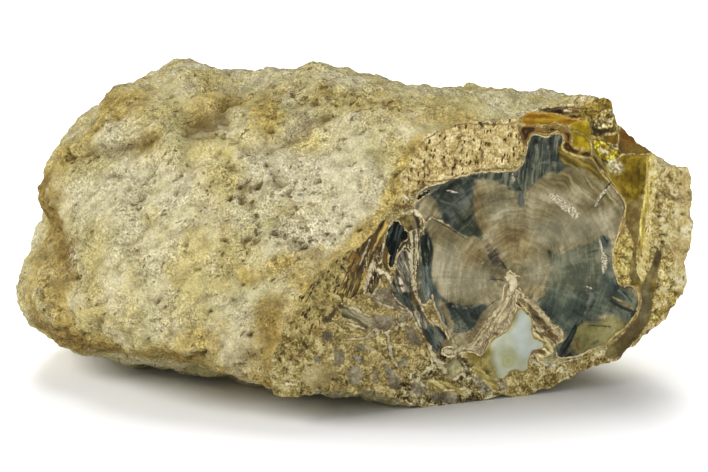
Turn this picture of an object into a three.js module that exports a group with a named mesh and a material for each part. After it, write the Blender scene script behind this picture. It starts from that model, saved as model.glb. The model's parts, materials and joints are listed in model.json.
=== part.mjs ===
// A petrified wood limb: one solid stone, about 146 mm long, sawn and polished flat at one end.
// The stone is a limb cast with a thick, pitted crust round it. It lies on a naturally flat underside,
// and tapers and swings to the left behind the polished face.
//
// Lengths are millimetres and +Z is up. The drawing frame below has its zero on the polished face, at the
// pith of the limb and on the resting plane. The exported frame has its origin at the centre of the bottom
// of the bounding box, with -Y the way the polished face looks.
import * as THREE from "three";
import { ImprovedNoise } from "three/addons/math/ImprovedNoise.js";

const SEGMENTS_AROUND = 104;
const RINGS_ALONG = 30;
const POINTS_PER_OUTLINE = 600;

// How far the crust's broad lumps stand out or sink in, and how wide they are.
const LUMP_HEIGHT = 2.6;
const LUMP_WIDTH = 19;
const KNOB_HEIGHT = 1.3;
const KNOB_WIDTH = 8;
// The lumps fade out over this distance behind the polished face, which keeps its outline.
const RIM_FADE = 9;
// A dent or a ridge moves the crust within this many times its radius.
const DENT_REACH = 1.6;

// Slices through the stone, parallel to the polished face. `behind` is the distance behind the face,
// `middle` a point that sees the whole outline, and `outline` runs round it as [right of the pith, height].
const SLICES = [
  {
    behind: 0, // the polished face
    middle: [-6, 31],
    outline: [
      [45, 46], [44.5, 31], [43, 20], [36, 12], [27, 7], [17, 3.5], [5, 0.5], [-8, 0], [-22, 0.5],
      [-31, 4], [-42, 6.5], [-53, 6], [-57.5, 8.5], [-56, 16], [-53, 24], [-46, 32.5], [-36, 39.5],
      [-30, 46], [-26, 52], [-24, 58.5], [-16, 63.5], [-8, 63.5], [1, 63.5], [5, 66], [22.5, 67],
      [27, 61], [34, 54], [38, 50.5], [44, 50],
    ],
  },
  {
    behind: 8,
    middle: [-9, 31],
    outline: [
      [46, 40], [45, 28], [43, 19], [36, 11], [26, 6], [12, 1.5], [-5, -0.5], [-25, -1], [-38, 2],
      [-50, 5], [-60, 8.5], [-66, 14], [-65, 22], [-61, 30], [-53, 39], [-43, 48], [-35, 56], [-28, 63],
      [-16, 67.5], [-4, 68], [8, 67.5], [21, 65], [28, 60], [36, 52], [44, 47.5],
    ],
  },
  {
    behind: 20,
    middle: [-14, 31],
    outline: [
      [45.5, 38], [44.5, 22], [37, 10], [26, 5], [12, 0], [-5, -1.5], [-30, -1.5], [-44, 1], [-56, 5],
      [-67, 9.5], [-76, 15], [-77, 23], [-71, 36], [-60, 48], [-47, 58], [-34, 67], [-22, 69.5],
      [-8, 68], [5, 67], [18, 65], [29, 61.5], [37, 55], [43, 48],
    ],
  },
  {
    behind: 40,
    middle: [-24, 31],
    outline: [
      [40, 48], [42, 34], [39, 18], [30, 7], [15, 0], [0, -1.5], [-38, -2], [-54, 0], [-66, 4],
      [-78, 7.5], [-88, 13], [-91, 23], [-86, 36], [-78, 48], [-66, 60], [-52, 68], [-40, 71],
      [-30, 71], [-20, 68.5], [-10, 66], [5, 64], [20, 61.5], [33, 57],
    ],
  },
  {
    behind: 64,
    middle: [-32, 30],
    outline: [
      [28, 45], [33, 32], [30, 15], [20, 3], [5, -1.5], [-40, -2], [-72, 0], [-86, 5], [-94, 11],
      [-97, 18], [-95, 25], [-91, 33], [-91, 43], [-86, 51], [-79, 58], [-73, 64], [-66, 67],
      [-58, 70.5], [-50, 69.5], [-36, 66], [-18, 62], [0, 57], [15, 53],
    ],
  },
  {
    behind: 84,
    middle: [-36, 29],
    outline: [
      [18, 40], [23, 26], [19, 11], [8, 1], [-18, -1.5], [-50, -1.5], [-72, 1], [-84, 8], [-88, 20],
      [-86, 34], [-80, 47], [-69, 57], [-56, 62], [-38, 61], [-18, 56], [2, 50],
    ],
  },
  {
    behind: 96,
    middle: [-38, 28],
    outline: [
      [5, 37], [9, 24], [4, 11], [-12, 3], [-40, 1.5], [-62, 5], [-75, 13], [-79, 24], [-76, 37],
      [-67, 48], [-54, 54], [-36, 53], [-14, 47],
    ],
  },
  {
    behind: 102, // the broken far end
    middle: [-38, 27],
    outline: [
      [-7, 32], [-6, 21], [-18, 13], [-40, 11], [-58, 15], [-65, 24], [-62, 35], [-50, 43], [-36, 44],
      [-19, 40],
    ],
  },
];

// Single features of the crust, each at a point on it: how wide it is, and how far it stands out, or sinks
// in if that is negative.
const FEATURES = [
  { at: [-58, 57, 70], radius: 7, height: 2.6 }, // the knob at the top of the far end
  { at: [-50, 44, 69], radius: 7, height: -2.8 }, // the dip beside the knob
  { at: [-5, 22, 68], radius: 12, height: -1.8 }, // the low saddle along the top
  { at: [-75, 53, 61], radius: 10, height: 2 }, // the ledge below the knob
  { at: [-62, 44, 64], radius: 6, height: -1.9 }, // the hollow where the ledge ends
  { at: [-78, 44, 52], radius: 6, height: -1.6 }, // the groove under the ledge
  { at: [-91, 64, 34], radius: 6, height: -1.8 }, // the notch in the far end
  { at: [-50, 18, 53], radius: 9, height: -2 }, // the broad hollow beside the step
  { at: [-58, 14, 43], radius: 7, height: -1.4 }, // the hollow below that
  { at: [-52, 8, 35], radius: 5, height: 1.6 }, // the lip, at its upper end
  { at: [-65, 10, 25], radius: 5, height: 1.6 }, // the lip, at its lower end
  { at: [-58, 7, 26], radius: 6, height: -2.6 }, // the recess inside the lip
  { at: [-62, 8, 12], radius: 9, height: 2 }, // the foot below the recess
  { at: [-86, 33, 16], radius: 5, height: -1.8 }, // the furrow down to the lower edge
  { at: [-72, 17, 17], radius: 5, height: -1.5 }, // the hollow near the lower edge
  { at: [-79, 23, 27], radius: 14, height: 1.4 }, // the swelling of the big side
];

const lumps = new ImprovedNoise();

/** The distance from a slice's middle to its outline, for each direction round it. */
function radiiOf({ middle, outline }) {
  const points = outline.map(([x, z]) => new THREE.Vector3(x - middle[0], 0, z - middle[1]));
  const curve = new THREE.CatmullRomCurve3(points, true, "centripetal");
  const dense = curve.getPoints(POINTS_PER_OUTLINE);
  return Array.from({ length: SEGMENTS_AROUND }, (_, k) => {
    const angle = (2 * Math.PI * k) / SEGMENTS_AROUND;
    const ray = new THREE.Vector2(Math.cos(angle), Math.sin(angle));
    for (let i = 1; i < dense.length; i++) {
      const a = new THREE.Vector2(dense[i - 1].x, dense[i - 1].z);
      const b = new THREE.Vector2(dense[i].x, dense[i].z);
      const sideA = ray.cross(a);
      const sideB = ray.cross(b);
      if (sideA * sideB > 0 || sideA === sideB) continue;
      const hit = a.lerp(b, sideA / (sideA - sideB));
      if (hit.dot(ray) > 0) return hit.length();
    }
    throw new Error("a slice's middle doesn't see its whole outline");
  });
}

/** One curve along the stone for each direction round it, through the same direction of every slice. */
function railsThrough(slices) {
  const radii = slices.map(radiiOf);
  return Array.from({ length: SEGMENTS_AROUND }, (_, k) => {
    const angle = (2 * Math.PI * k) / SEGMENTS_AROUND;
    const points = slices.map(
      ({ behind, middle }, s) =>
        new THREE.Vector3(
          middle[0] + radii[s][k] * Math.cos(angle),
          behind,
          middle[1] + radii[s][k] * Math.sin(angle),
        ),
    );
    return new THREE.CatmullRomCurve3(points, false, "centripetal");
  });
}

const rails = railsThrough(SLICES);
const spine = new THREE.CatmullRomCurve3(
  SLICES.map(({ behind, middle }) => new THREE.Vector3(middle[0], behind, middle[1])),
  false,
  "centripetal",
);

/** How far the crust stands out at a point, from the broad lumps, the knobs on them and the features. */
function relief(point) {
  const fade = THREE.MathUtils.smoothstep(point.y, 0, RIM_FADE);
  const broad = point.clone().divideScalar(LUMP_WIDTH);
  const small = point.clone().divideScalar(KNOB_WIDTH);
  const lump = LUMP_HEIGHT * lumps.noise(broad.x, broad.y, broad.z);
  const knob = KNOB_HEIGHT * lumps.noise(small.x + 7, small.y, small.z);
  const features = FEATURES.reduce((sum, { at, radius, height }) => {
    const away = point.distanceTo(new THREE.Vector3(...at)) / (radius * DENT_REACH);
    return sum + height * (1 - THREE.MathUtils.smoothstep(away, 0, 1));
  }, 0);
  return fade * (lump + knob + features);
}

/** The point on the stone for a corner of a unit cylinder whose top is the polished face. */
function onStone(corner) {
  const along = 0.5 - corner.y;
  const share = Math.min(1, Math.hypot(corner.x, corner.z));
  const turn = Math.atan2(-corner.z, corner.x) / (2 * Math.PI);
  const k = Math.round(((turn + 1) % 1) * SEGMENTS_AROUND) % SEGMENTS_AROUND;
  const middle = spine.getPoint(along);
  const skin = rails[k].getPoint(along);
  const outwards = skin.clone().sub(middle).setY(0).normalize();
  skin.addScaledVector(outwards, relief(skin));
  skin.z = Math.max(skin.z, 0);
  return middle.lerp(skin, share > 0.5 ? 1 : 0);
}

function stoneGeometry() {
  const geometry = new THREE.CylinderGeometry(1, 1, 1, SEGMENTS_AROUND, RINGS_ALONG);
  const corners = geometry.getAttribute("position");
  const corner = new THREE.Vector3();
  for (let i = 0; i < corners.count; i++) {
    corner.fromBufferAttribute(corners, i);
    const { x, y, z } = onStone(corner);
    corners.setXYZ(i, x, y, z);
  }
  geometry.computeVertexNormals();
  geometry.computeBoundingBox();
  return geometry;
}

const stone = new THREE.Mesh(
  stoneGeometry(),
  new THREE.MeshStandardMaterial({ color: 0xc4b88a, roughness: 0.9, metalness: 0 }),
);
stone.name = "petrified_limb";

// The origin moves to the centre of the bottom of the bounding box.
const box = stone.geometry.boundingBox;
stone.position.set(-(box.min.x + box.max.x) / 2, -(box.min.y + box.max.y) / 2, -box.min.z);

const limb = new THREE.Group();
limb.name = "petrified_wood_limb";
limb.add(stone);

export default limb;
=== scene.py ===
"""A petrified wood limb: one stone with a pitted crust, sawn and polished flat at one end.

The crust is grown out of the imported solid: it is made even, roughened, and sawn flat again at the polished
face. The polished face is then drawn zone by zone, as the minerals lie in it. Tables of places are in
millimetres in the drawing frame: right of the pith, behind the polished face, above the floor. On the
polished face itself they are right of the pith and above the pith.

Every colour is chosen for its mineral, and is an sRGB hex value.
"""

import json
import logging
import math
from dataclasses import dataclass, field
from enum import Enum
from typing import Sequence

import bmesh
import bpy
import numpy as np
from mathutils import Matrix, Vector, noise

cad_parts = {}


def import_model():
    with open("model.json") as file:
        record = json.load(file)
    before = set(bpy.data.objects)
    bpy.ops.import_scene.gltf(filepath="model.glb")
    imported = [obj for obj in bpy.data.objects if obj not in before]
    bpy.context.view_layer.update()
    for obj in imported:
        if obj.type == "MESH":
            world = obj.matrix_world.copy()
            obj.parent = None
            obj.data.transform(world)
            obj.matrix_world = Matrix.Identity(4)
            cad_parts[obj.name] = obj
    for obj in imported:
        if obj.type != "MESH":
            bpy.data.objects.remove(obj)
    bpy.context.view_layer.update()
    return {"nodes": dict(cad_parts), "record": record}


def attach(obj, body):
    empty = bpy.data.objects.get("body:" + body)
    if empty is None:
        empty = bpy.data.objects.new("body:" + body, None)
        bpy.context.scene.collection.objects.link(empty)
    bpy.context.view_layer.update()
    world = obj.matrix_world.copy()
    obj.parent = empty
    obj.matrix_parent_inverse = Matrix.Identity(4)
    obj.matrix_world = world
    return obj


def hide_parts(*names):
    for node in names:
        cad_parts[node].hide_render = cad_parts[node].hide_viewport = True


log = logging.getLogger("petrified_limb")

MM = 0.001
NODE = "petrified_limb"
FACE_MOUNT = "polished_face"

Point = tuple[float, ...]
Path = tuple[Point, ...]
# The tables hold a path as a chain: the numbers of its points one after another.
Chain = tuple[float, ...]
Object = bpy.types.Object
Nodes = bpy.types.NodeTree
Node = bpy.types.Node
# What feeds a node's input: a socket, or a node for its first output.
Feed = bpy.types.NodeSocket | bpy.types.Node

# The depth that is kept for a point well outside a mineral, in millimetres.
FAR_OUTSIDE = -9.0
# The mesh's second material, until the face is parted into panels.
CUT = 1


def linear(colour: str) -> tuple[float, float, float, float]:
    """The linear colour, with alpha, of an sRGB hex value.

    Args:
        colour: Six hex digits.

    Returns:
        Red, green, blue and an alpha of 1.
    """
    channels = [int(colour[i : i + 2], 16) / 255 for i in (0, 2, 4)]
    return (*(c / 12.92 if c <= 0.04045 else ((c + 0.055) / 1.055) ** 2.4 for c in channels), 1.0)


def add(tree: Nodes, kind: str, inputs: dict | None = None,
        ramp: Sequence[tuple[float, str]] = (), **settings: object) -> Node:
    """Adds a node with its settings and its links.

    Args:
        tree: The node tree that gets the node.
        kind: The node's type, without ShaderNode in front.
        inputs: For each input, by name or place, a constant or what feeds it.
        ramp: For a colour ramp, its places and hex colours.
        settings: The node's own properties.

    Returns:
        The new node.
    """
    node = tree.nodes.new(f"ShaderNode{kind}")
    for name, value in settings.items():
        setattr(node, name, value)
    for key, value in (inputs or {}).items():
        if isinstance(value, Feed):
            tree.links.new(value.outputs[0] if isinstance(value, Node) else value, node.inputs[key])
        else:
            node.inputs[key].default_value = value
    for place, (position, colour) in enumerate(ramp):
        stops = node.color_ramp.elements
        stop = stops[place] if place < 2 else stops.new(position)
        stop.position = position
        stop.color = linear(colour)
    return node


def places_of(mesh: bpy.types.Mesh) -> np.ndarray:
    """The places of a mesh's corners in metres, one row for each corner."""
    places = np.empty(len(mesh.vertices) * 3)
    mesh.vertices.foreach_get("co", places)
    return places.reshape(-1, 3)


def store(mesh: bpy.types.Mesh, name: str, values: np.ndarray) -> None:
    """Keeps one number for each corner of the mesh, for its material to read."""
    layer = mesh.attributes.new(name, "FLOAT", "POINT")
    layer.data.foreach_set("value", values.astype(np.float32))


def show(name: str, data: bpy.types.ID) -> Object:
    """Puts a mesh, a light or a camera in the scene, at the origin."""
    thing = bpy.data.objects.new(name, data)
    bpy.context.scene.collection.objects.link(thing)
    return thing


def nearest_on_path(points: np.ndarray, path: Path, closed: bool = False) -> tuple[np.ndarray, np.ndarray]:
    """How far points are from a path, and which way to go to it.

    Args:
        points: One row for each point, with as many columns as the path's points have.
        path: The path's corners.
        closed: Whether the path runs back to its start.

    Returns:
        For each point its distance to the path, and its offset from the nearest place on it.
    """
    corners = [np.array(corner, float) for corner in path]
    if closed:
        corners.append(corners[0])
    best = np.full(len(points), np.inf)
    offset = np.zeros_like(points)
    for start, end in zip(corners, corners[1:]):
        along = end - start
        share = np.clip((points - start) @ along / max(along @ along, 1e-9), 0, 1)
        away = points - start - share[:, None] * along
        distance = np.linalg.norm(away, axis=1)
        nearer = distance < best
        best[nearer] = distance[nearer]
        offset[nearer] = away[nearer]
    return best, offset


def in_points(chain: Chain, size: int) -> Path:
    """Parts a chain into its points, of so many numbers each."""
    return tuple(chain[start : start + size] for start in range(0, len(chain), size))


def smooth_fall(share: np.ndarray) -> np.ndarray:
    """A weight that falls smoothly from 1 at a share of 0 to 0 at a share of 1 and beyond."""
    inside = np.clip(1 - share, 0, 1)
    return inside * inside * (3 - 2 * inside)


@dataclass(frozen=True)
class DrawingFrame:
    """Turns the drawing frame's millimetres into the part's metres and back."""

    pith: Vector

    @classmethod
    def of_record(cls, record: dict) -> "DrawingFrame":
        """The frame whose zero is below the pith, on the polished face's mount and on the floor."""
        mount = next(m for m in record["mounts"] if m["name"] == FACE_MOUNT)
        return cls(Vector(mount["pos_m"]))

    @property
    def zero(self) -> np.ndarray:
        """The drawing frame's zero in the part's metres."""
        return np.array([self.pith.x, self.pith.y, 0.0])

    def drawn(self, metres: np.ndarray) -> np.ndarray:
        """The part's points, in metres, as drawing-frame millimetres."""
        return (metres - self.zero) / MM


@dataclass(frozen=True)
class Crease:
    """A crack, a lip or the foot of a step that runs over the crust."""

    path: Chain
    height: float
    width: float
    step: float = 0.0
    reach: float = 6.0

    def relief(self, points: np.ndarray) -> np.ndarray:
        """How far the crease moves the crust at each point, in millimetres."""
        distance, offset = nearest_on_path(points, in_points(self.path, 3))
        side = np.tanh(offset[:, 2] / self.width)
        step = self.step * side * smooth_fall(distance / self.reach)
        return self.height * smooth_fall(distance / (2 * self.width)) + step


@dataclass(frozen=True)
class Hollow:
    """A single large pit, or a knob if its depth is negative."""

    at: Point
    radius: float
    depth: float

    def relief(self, points: np.ndarray) -> np.ndarray:
        """How far the hollow moves the crust at each point, in millimetres."""
        return -self.depth * smooth_fall(np.linalg.norm(points - np.array(self.at), axis=1) / self.radius)


@dataclass(frozen=True)
class Patch:
    """A stretch of crust along a path that differs from the rest, and how strongly."""

    path: Chain
    radius: float
    strength: float = 1.0

    def weight(self, points: np.ndarray) -> np.ndarray:
        """The patch's weight at each point, from 0 outside to its strength on the path."""
        distance, _ = nearest_on_path(points, in_points(self.path, 3))
        return self.strength * smooth_fall(distance / self.radius)


CREASES = (
    Crease((-88, 66, 50, -83, 58, 52.5, -78, 50, 54.5, -74, 44, 56, -70, 40, 58.5), -1.1, 0.9, step=1.4),
    Crease((-50, 24, 57, -48, 23, 58.5, -45, 22, 60, -41, 21, 63, -37, 19, 65), -1.1, 0.7, step=1.3),
    Crease((-68, 10, 20, -66, 9, 23, -61, 7, 25.5, -56, 5, 29, -52, 3, 31, -47, 2, 34), 1.0, 1.2),
    Crease((-61, 9, 30, -56, 6, 34, -49, 4, 36, -45, 3, 37.5), 0.7, 1.0, step=0.5),
    Crease((-85, 32, 22, -87, 35, 15, -89, 40, 7), -1.2, 1.4),
    Crease((-66, 30, 57, -62, 27, 56, -57, 23, 54, -53, 19, 52), -0.9, 1.3, step=0.6),
)

HOLLOWS = (
    Hollow((-61.3, 48.9, 66), 5, -1.6),
    Hollow((-60, 36, 62), 10, 2.0),
    Hollow((-77, 53, 60), 10, -1.0),
    Hollow((-52, 40, 65), 6, 1.2),
    Hollow((-52, 29, 63), 6, -1.2),
    Hollow((-54.5, 20.5, 54), 6, -1.4),
    Hollow((-47, 15, 54), 5, -1.0),
    Hollow((-42, 12, 56), 5, -1.0),
    Hollow((-50, 16, 50), 4, 1.6),
    Hollow((-57, 19, 49), 5, 1.2),
    Hollow((-66, 24, 49), 9, -1.1),
    Hollow((-70, 30, 41), 8, 1.0),
    Hollow((-63, 13, 32), 6, 1.2),
    Hollow((-79, 28, 22), 8, -1.2),
    Hollow((-63, 5, 14), 8, 1.3),
    Hollow((-69, 15, 13), 2.4, 3.0),
    Hollow((-55, 10, 39), 1.5, 2.0),
    Hollow((-53, 9, 40.5), 1.2, 1.8),
    Hollow((-51, 8, 38.4), 1.4, 2.1),
    Hollow((-48.5, 6, 39), 1.2, 1.9),
    Hollow((-46, 5, 38), 1.5, 2.1),
    Hollow((-49.5, 6, 36.5), 1.1, 1.5),
    Hollow((-59, 11, 36.5), 1.6, 2.0),
    Hollow((-84, 47, 45), 1.4, 1.2),
    Hollow((-79, 42, 47), 1.2, 1.1),
)

# Where the crust is full of pits, and how densely.
PITTED = (
    Patch((-60, 20, 50, -48, 12, 48, -40, 7, 44), 16, 0.6),
    Patch((-56, 12, 41, -47, 5, 39), 8, 0.75),
    Patch((-90, 46, 32, -89, 38, 22, -86, 44, 12), 12, 0.65),
    Patch((-66, 36, 59, -56, 30, 60), 9, 0.5),
    Patch((-38, 10, 60, -30, 5, 62), 8, 0.35),
    Patch((-74, 20, 8, -58, 3, 6), 8, 0.55),
    Patch((-58, 46, 68, -48, 38, 69, -38, 27, 69, -24, 12, 67), 11, 0.75),
    Patch((-66, 46, 66, -78, 54, 60, -84, 60, 50), 10, 0.55),
    Patch((-66, 12, 9, -80, 30, 8, -91, 50, 10), 9, 0.7),
    Patch((-92, 60, 40, -93, 52, 22), 9, 0.75),
    Patch((-62, 6, 20, -59, 2, 10), 9, 0.5),
)

# Where iron has stained the crust yellow ochre, where it is brown, and where it is bleached pale.
OCHRE = (
    Patch((-57, 44, 67, -45, 36, 68, -38, 26, 68, -30, 18, 67, -22, 8, 66, -12, 2, 66), 11, 0.5),
    Patch((-48, 31, 65, -48, 27, 61), 8, 0.8),
    Patch((-90, 66, 44, -92, 60, 32, -93, 50, 20, -88, 44, 10), 14, 0.85),
    Patch((-92, 54, 9, -82, 36, 10, -76, 22, 11, -66, 10, 9, -56, 2, 8), 10, 0.85),
    Patch((-60, 8, 31.5, -53, 5, 34.5, -46, 3, 37), 5, 0.8),
    Patch((-51, 2, 32, -56, 1, 24, -58, 1, 14), 8, 0.7),
    Patch((-24, 1, 60, -27, 1, 52, -30, 1, 46, -36, 1, 40, -46, 1, 33, -53, 1, 24, -57, 1, 14), 4.5, 0.85),
    Patch((-74, 44, 56, -70, 40, 57.5), 6, 0.6),
    Patch((-70, 54, 66, -80, 58, 59, -85, 62, 50), 12, 0.75),
    Patch((-62, 38, 62, -52, 40, 65), 9, 0.7),
    Patch((-80, 34, 20, -72, 24, 20, -66, 12, 16), 14, 0.75),
    # The back, the far end and the right side carry the same stains as the front.
    Patch((46, 8, 34, 45, 26, 24, 38, 50, 16, 24, 74, 16), 12, 0.8),
    Patch((24, 56, 57, 2, 78, 54, -20, 92, 47, -42, 98, 46), 11, 0.75),
    Patch((-84, 80, 24, -70, 94, 18, -40, 102, 14), 12, 0.7),
    Patch((-20, 40, 67, -4, 52, 61), 9, 0.6),
)
BROWN = (
    Patch((-61, 48, 65, -60, 37, 62, -53, 40, 65), 9, 0.3),
    Patch((-90, 62, 44, -89, 58, 35, -88, 48, 26), 9, 0.8),
    Patch((-64, 10, 18, -58, 3, 10), 10, 0.55),
    Patch((-61, 4, 15, -60, 6, 20), 7, 0.6),
    Patch((45, 5, 9, 40, 30, 6, 30, 55, 4, 8, 84, 5, -20, 99, 12), 8, 0.7),
    Patch((30, 40, 58, 18, 62, 52), 7, 0.4),
    Patch((-56, 2, 26, -58, 2, 19, -58, 2, 10), 7, 0.7),
    Patch((-94, 54, 14, -88, 46, 7, -74, 22, 7, -62, 6, 5), 9, 0.95),
    Patch((-91, 64, 38, -93, 58, 30), 7, 0.8),
    Patch((-37, 26, 69, -35, 24, 69), 5, 0.4),
    Patch((-68, 17, 14, -75, 24, 12), 8, 0.5),
)
PALE = (
    Patch((-50, 16, 52, -40, 7, 52, -36, 4, 46, -45, 6, 42), 15, 1.0),
    Patch((-64, 9, 24, -57, 6, 29), 4, 0.9),
    Patch((-67, 11, 20, -64, 6, 12), 7, 0.3),
    Patch((-66, 26, 46, -82, 46, 46), 14, 0.6),
    Patch((-60, 56, 71, -56, 56, 71), 6, 0.9),
    Patch((44, 24, 44, 30, 56, 38, 12, 84, 32), 14, 0.8),
    Patch((-30, 70, 64, -50, 84, 58), 12, 0.7),
)


@dataclass(frozen=True)
class CrustFinish:
    """Weathered silica and clay crust: dull, gritty, cream to ochre, with dirt and painted shade in its pits
    and painted shade and highlight on its fine relief.

    Its clouds are colours that drift, stretches that are rough or rubbed smooth, swellings, mottling, the
    kinks that keep the knobs from being round, crevices and grit. Each has its width in millimetres, how
    many finer sizes are mixed in, and how strong those are. A knob's width is in millimetres too.
    """

    name: str = "weathered_silica_crust"
    chalk: str = "DBD1A7"
    cream: str = "D1C181"
    greenish: str = "BDB47F"
    bleached: str = "DBD3B2"
    ochre_light: str = "D1BA6B"
    ochre_dark: str = "9E843B"
    brown_light: str = "A68C4A"
    brown_dark: str = "775F2A"
    # The colour of dirt and painted shade in the pits, the furrows between the knobs and the crevices.
    dirt_and_shade: str = "66511F"
    drift: Point = (12.0, 4.0, 0.6)
    stretches: Point = (8.0, 2.0, 0.6)
    swell: Point = (4.5, 3.0, 0.6)
    mottle: Point = (1.5, 5.0, 0.6)
    kink: Point = (1.4, 2.0, 0.6)
    crevice: Point = (1.2, 2.5, 0.6)
    # Real grit is finer. This is as fine as shows.
    grit: Point = (0.5, 3.0, 0.7)
    knob: float = 0.95
    kinked: float = 0.9
    roughness: float = 0.95
    specular: float = 0.25

    def crevices(self, tree: Nodes, mm: Feed, run: Vector, stretch: float, rough: Feed) -> Node:
        """Short dark crevices, drawn out the same way as the pits, and close together where the pits are.

        Args:
            tree: The crust's nodes.
            mm: The place on the stone, in millimetres.
            run: The direction in which they run.
            stretch: How much a pattern's scale shrinks in that direction.
            rough: How rough the crust is there, from 0 to 1.

        Returns:
            How deep in a crevice the surface is, from 0 to 1.
        """
        along = add(tree, "VectorMath", {0: mm, 1: run}, operation="DOT_PRODUCT").outputs["Value"]
        back = add(tree, "Math", {0: along, 1: stretch - 1}, operation="MULTIPLY")
        shift = add(tree, "VectorMath", {0: run, "Scale": back}, operation="SCALE")
        place = add(tree, "VectorMath", {0: mm, 1: shift}, operation="ADD")
        width, detail, finer = self.crevice
        cloud = {"Vector": place, "Scale": 1 / width, "Detail": detail, "Roughness": finer}
        deep = add(tree, "TexNoise", cloud)
        pitted = add(tree, "Attribute", attribute_name="pitted").outputs["Fac"]
        # Crevices open wider where the crust is rough or full of pits.
        for share, weight in ((rough, 0.08), (pitted, 0.12)):
            deep = add(tree, "Math", {0: share, 1: weight, 2: deep}, operation="MULTIPLY_ADD")
        return add(tree, "MapRange", {0: deep, 1: 0.73, 2: 0.82}, interpolation_type="SMOOTHSTEP")

    def ground(self, tree: Nodes, drift: Node) -> Node:
        """Chalk, cream and greenish grey, which drift into each other.

        Args:
            tree: The crust's nodes.
            drift: Three clouds of colour.

        Returns:
            The ground's colour.
        """
        stops = ((0.4, self.cream), (0.56, self.chalk))
        colour = add(tree, "ValToRGB", {0: drift.outputs[0]}, ramp=stops)
        green = add(tree, "MapRange", {0: drift.outputs[1], 1: 0.47, 2: 0.64, 4: 0.8})
        return add(tree, "MixRGB", {0: green, 1: colour, 2: linear(self.greenish)})

    def stained(self, tree: Nodes, colour: Feed, drift: Node, mottle: Feed) -> Node:
        """Lays the pale, ochre and brown patches over the ground, with frayed edges.

        Args:
            tree: The crust's nodes.
            colour: The ground's colour.
            drift: Three clouds of colour, of which the third frays the edges.
            mottle: The mottling, which frays them finely and makes each patch lighter and darker.

        Returns:
            The colour.
        """
        frayed = add(tree, "Math", {0: drift.outputs[2], 1: 1.6, 2: -1.2}, operation="MULTIPLY_ADD")
        frayed = add(tree, "Math", {0: mottle, 1: 0.8, 2: frayed}, operation="MULTIPLY_ADD")
        for patch, dark, light in (("pale", self.chalk, self.bleached),
                                   ("ochre", self.ochre_dark, self.ochre_light),
                                   ("brown", self.brown_dark, self.brown_light)):
            weight = add(tree, "Attribute", attribute_name=patch).outputs["Fac"]
            edge = add(tree, "Math", {0: weight, 1: frayed}, operation="ADD")
            mask = add(tree, "MapRange", {0: edge, 1: 0.15, 2: 0.85, 4: 0.9},
                       interpolation_type="SMOOTHSTEP")
            paint = add(tree, "ValToRGB", {0: mottle}, ramp=((0.36, dark), (0.62, light)))
            colour = add(tree, "MixRGB", {0: mask, 1: colour, 2: paint})
        return colour

    def material(self, run: Vector, stretch: float) -> bpy.types.Material:
        """Makes the crust's material: colour patches, grit, painted shade and highlight on the fine relief,
        dirt and painted shade in the pits, and gritty bump.

        Args:
            run: The direction in which the crust's crevices run.
            stretch: How much a pattern's scale shrinks in that direction.

        Returns:
            The finished material.
        """
        material = bpy.data.materials.new(self.name)
        material.use_nodes = True
        tree = material.node_tree
        shader = tree.nodes["Principled BSDF"]
        shader.inputs["Roughness"].default_value = self.roughness
        shader.inputs["Specular IOR Level"].default_value = self.specular
        place = add(tree, "TexCoord").outputs["Object"]
        # 1 unit of the mapped coordinate is 1 mm.
        mm = add(tree, "Mapping", {"Vector": place, "Scale": (1 / MM,) * 3}).outputs["Vector"]
        clouds = (self.drift, self.mottle, self.grit, self.swell, self.stretches, self.kink)
        drift, mottle, grit, swell, rough, kink = (
            add(tree, "TexNoise", {"Vector": mm, "Scale": 1 / width, "Detail": detail, "Roughness": finer})
            for width, detail, finer in clouds
        )
        drift = add(tree, "SeparateXYZ", {0: drift.outputs["Color"]})
        # Some stretches are rough and open, others are rubbed smooth.
        rough = add(tree, "MapRange", {0: rough, 1: 0.4, 2: 0.6, 3: 0.4})
        kinked = add(tree, "MixRGB", {0: self.kinked, 1: mm, 2: kink.outputs["Color"]}, blend_type="ADD")
        knobs = add(tree, "TexVoronoi", {"Vector": kinked, "Scale": 1 / self.knob}, feature="F1")
        crevices = self.crevices(tree, mm, run, stretch, rough)

        # Relief too fine for the mesh: knobs a millimetre wide with grit on them, and crevices between them.
        height = add(tree, "Math", {0: knobs, 1: -0.45, 2: 0.5}, operation="MULTIPLY_ADD")
        for pattern, weight in ((mottle, 0.6), (grit, 0.8)):
            height = add(tree, "Math", {0: pattern, 1: weight, 2: height}, operation="MULTIPLY_ADD")
        sunk = add(tree, "Math", {0: crevices, 1: -0.6, 2: height}, operation="MULTIPLY_ADD")

        colour = self.stained(tree, self.ground(tree, drift), drift, mottle)
        # Painted shade in the hollows of the fine relief and painted highlight on its crests, with a little
        # dirt and rubbed pale crust as well; the swellings only vary the tone.
        for pattern, low, high, dark, light in ((height, 0.84, 1.2, 0.82, 1.1),
                                                (grit, 0.32, 0.66, 0.48, 1.46),
                                                (mottle, 0.36, 0.64, 0.9, 1.05),
                                                (swell, 0.38, 0.62, 0.85, 1.05)):
            shade = add(tree, "MapRange", {0: pattern, 1: low, 2: high, 3: dark, 4: light})
            colour = add(tree, "MixRGB", {0: rough, 1: colour, 2: shade}, blend_type="MULTIPLY")
        # Dirt and painted shade in the pits, furrows and crevices: the deeper, the darker.
        pit = add(tree, "Attribute", attribute_name="pit").outputs["Fac"]
        dirt_and_shade_amount = add(tree, "MapRange", {0: pit, 1: 0.1, 2: 1.0, 4: 0.85})
        dirt_and_shade_amount = add(tree, "Math", {0: crevices, 1: 0.6, 2: dirt_and_shade_amount}, operation="MULTIPLY_ADD")
        dirt_and_shade_amount = add(tree, "Math", {0: dirt_and_shade_amount, 1: 0.9}, operation="MINIMUM")
        colour = add(tree, "MixRGB", {0: dirt_and_shade_amount, 1: colour, 2: linear(self.dirt_and_shade)})
        tree.links.new(colour.outputs[0], shader.inputs["Base Color"])

        bump = add(tree, "Bump", {"Height": sunk, "Strength": 1.0, "Distance": MM})
        tree.links.new(bump.outputs[0], shader.inputs["Normal"])
        return material


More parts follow.
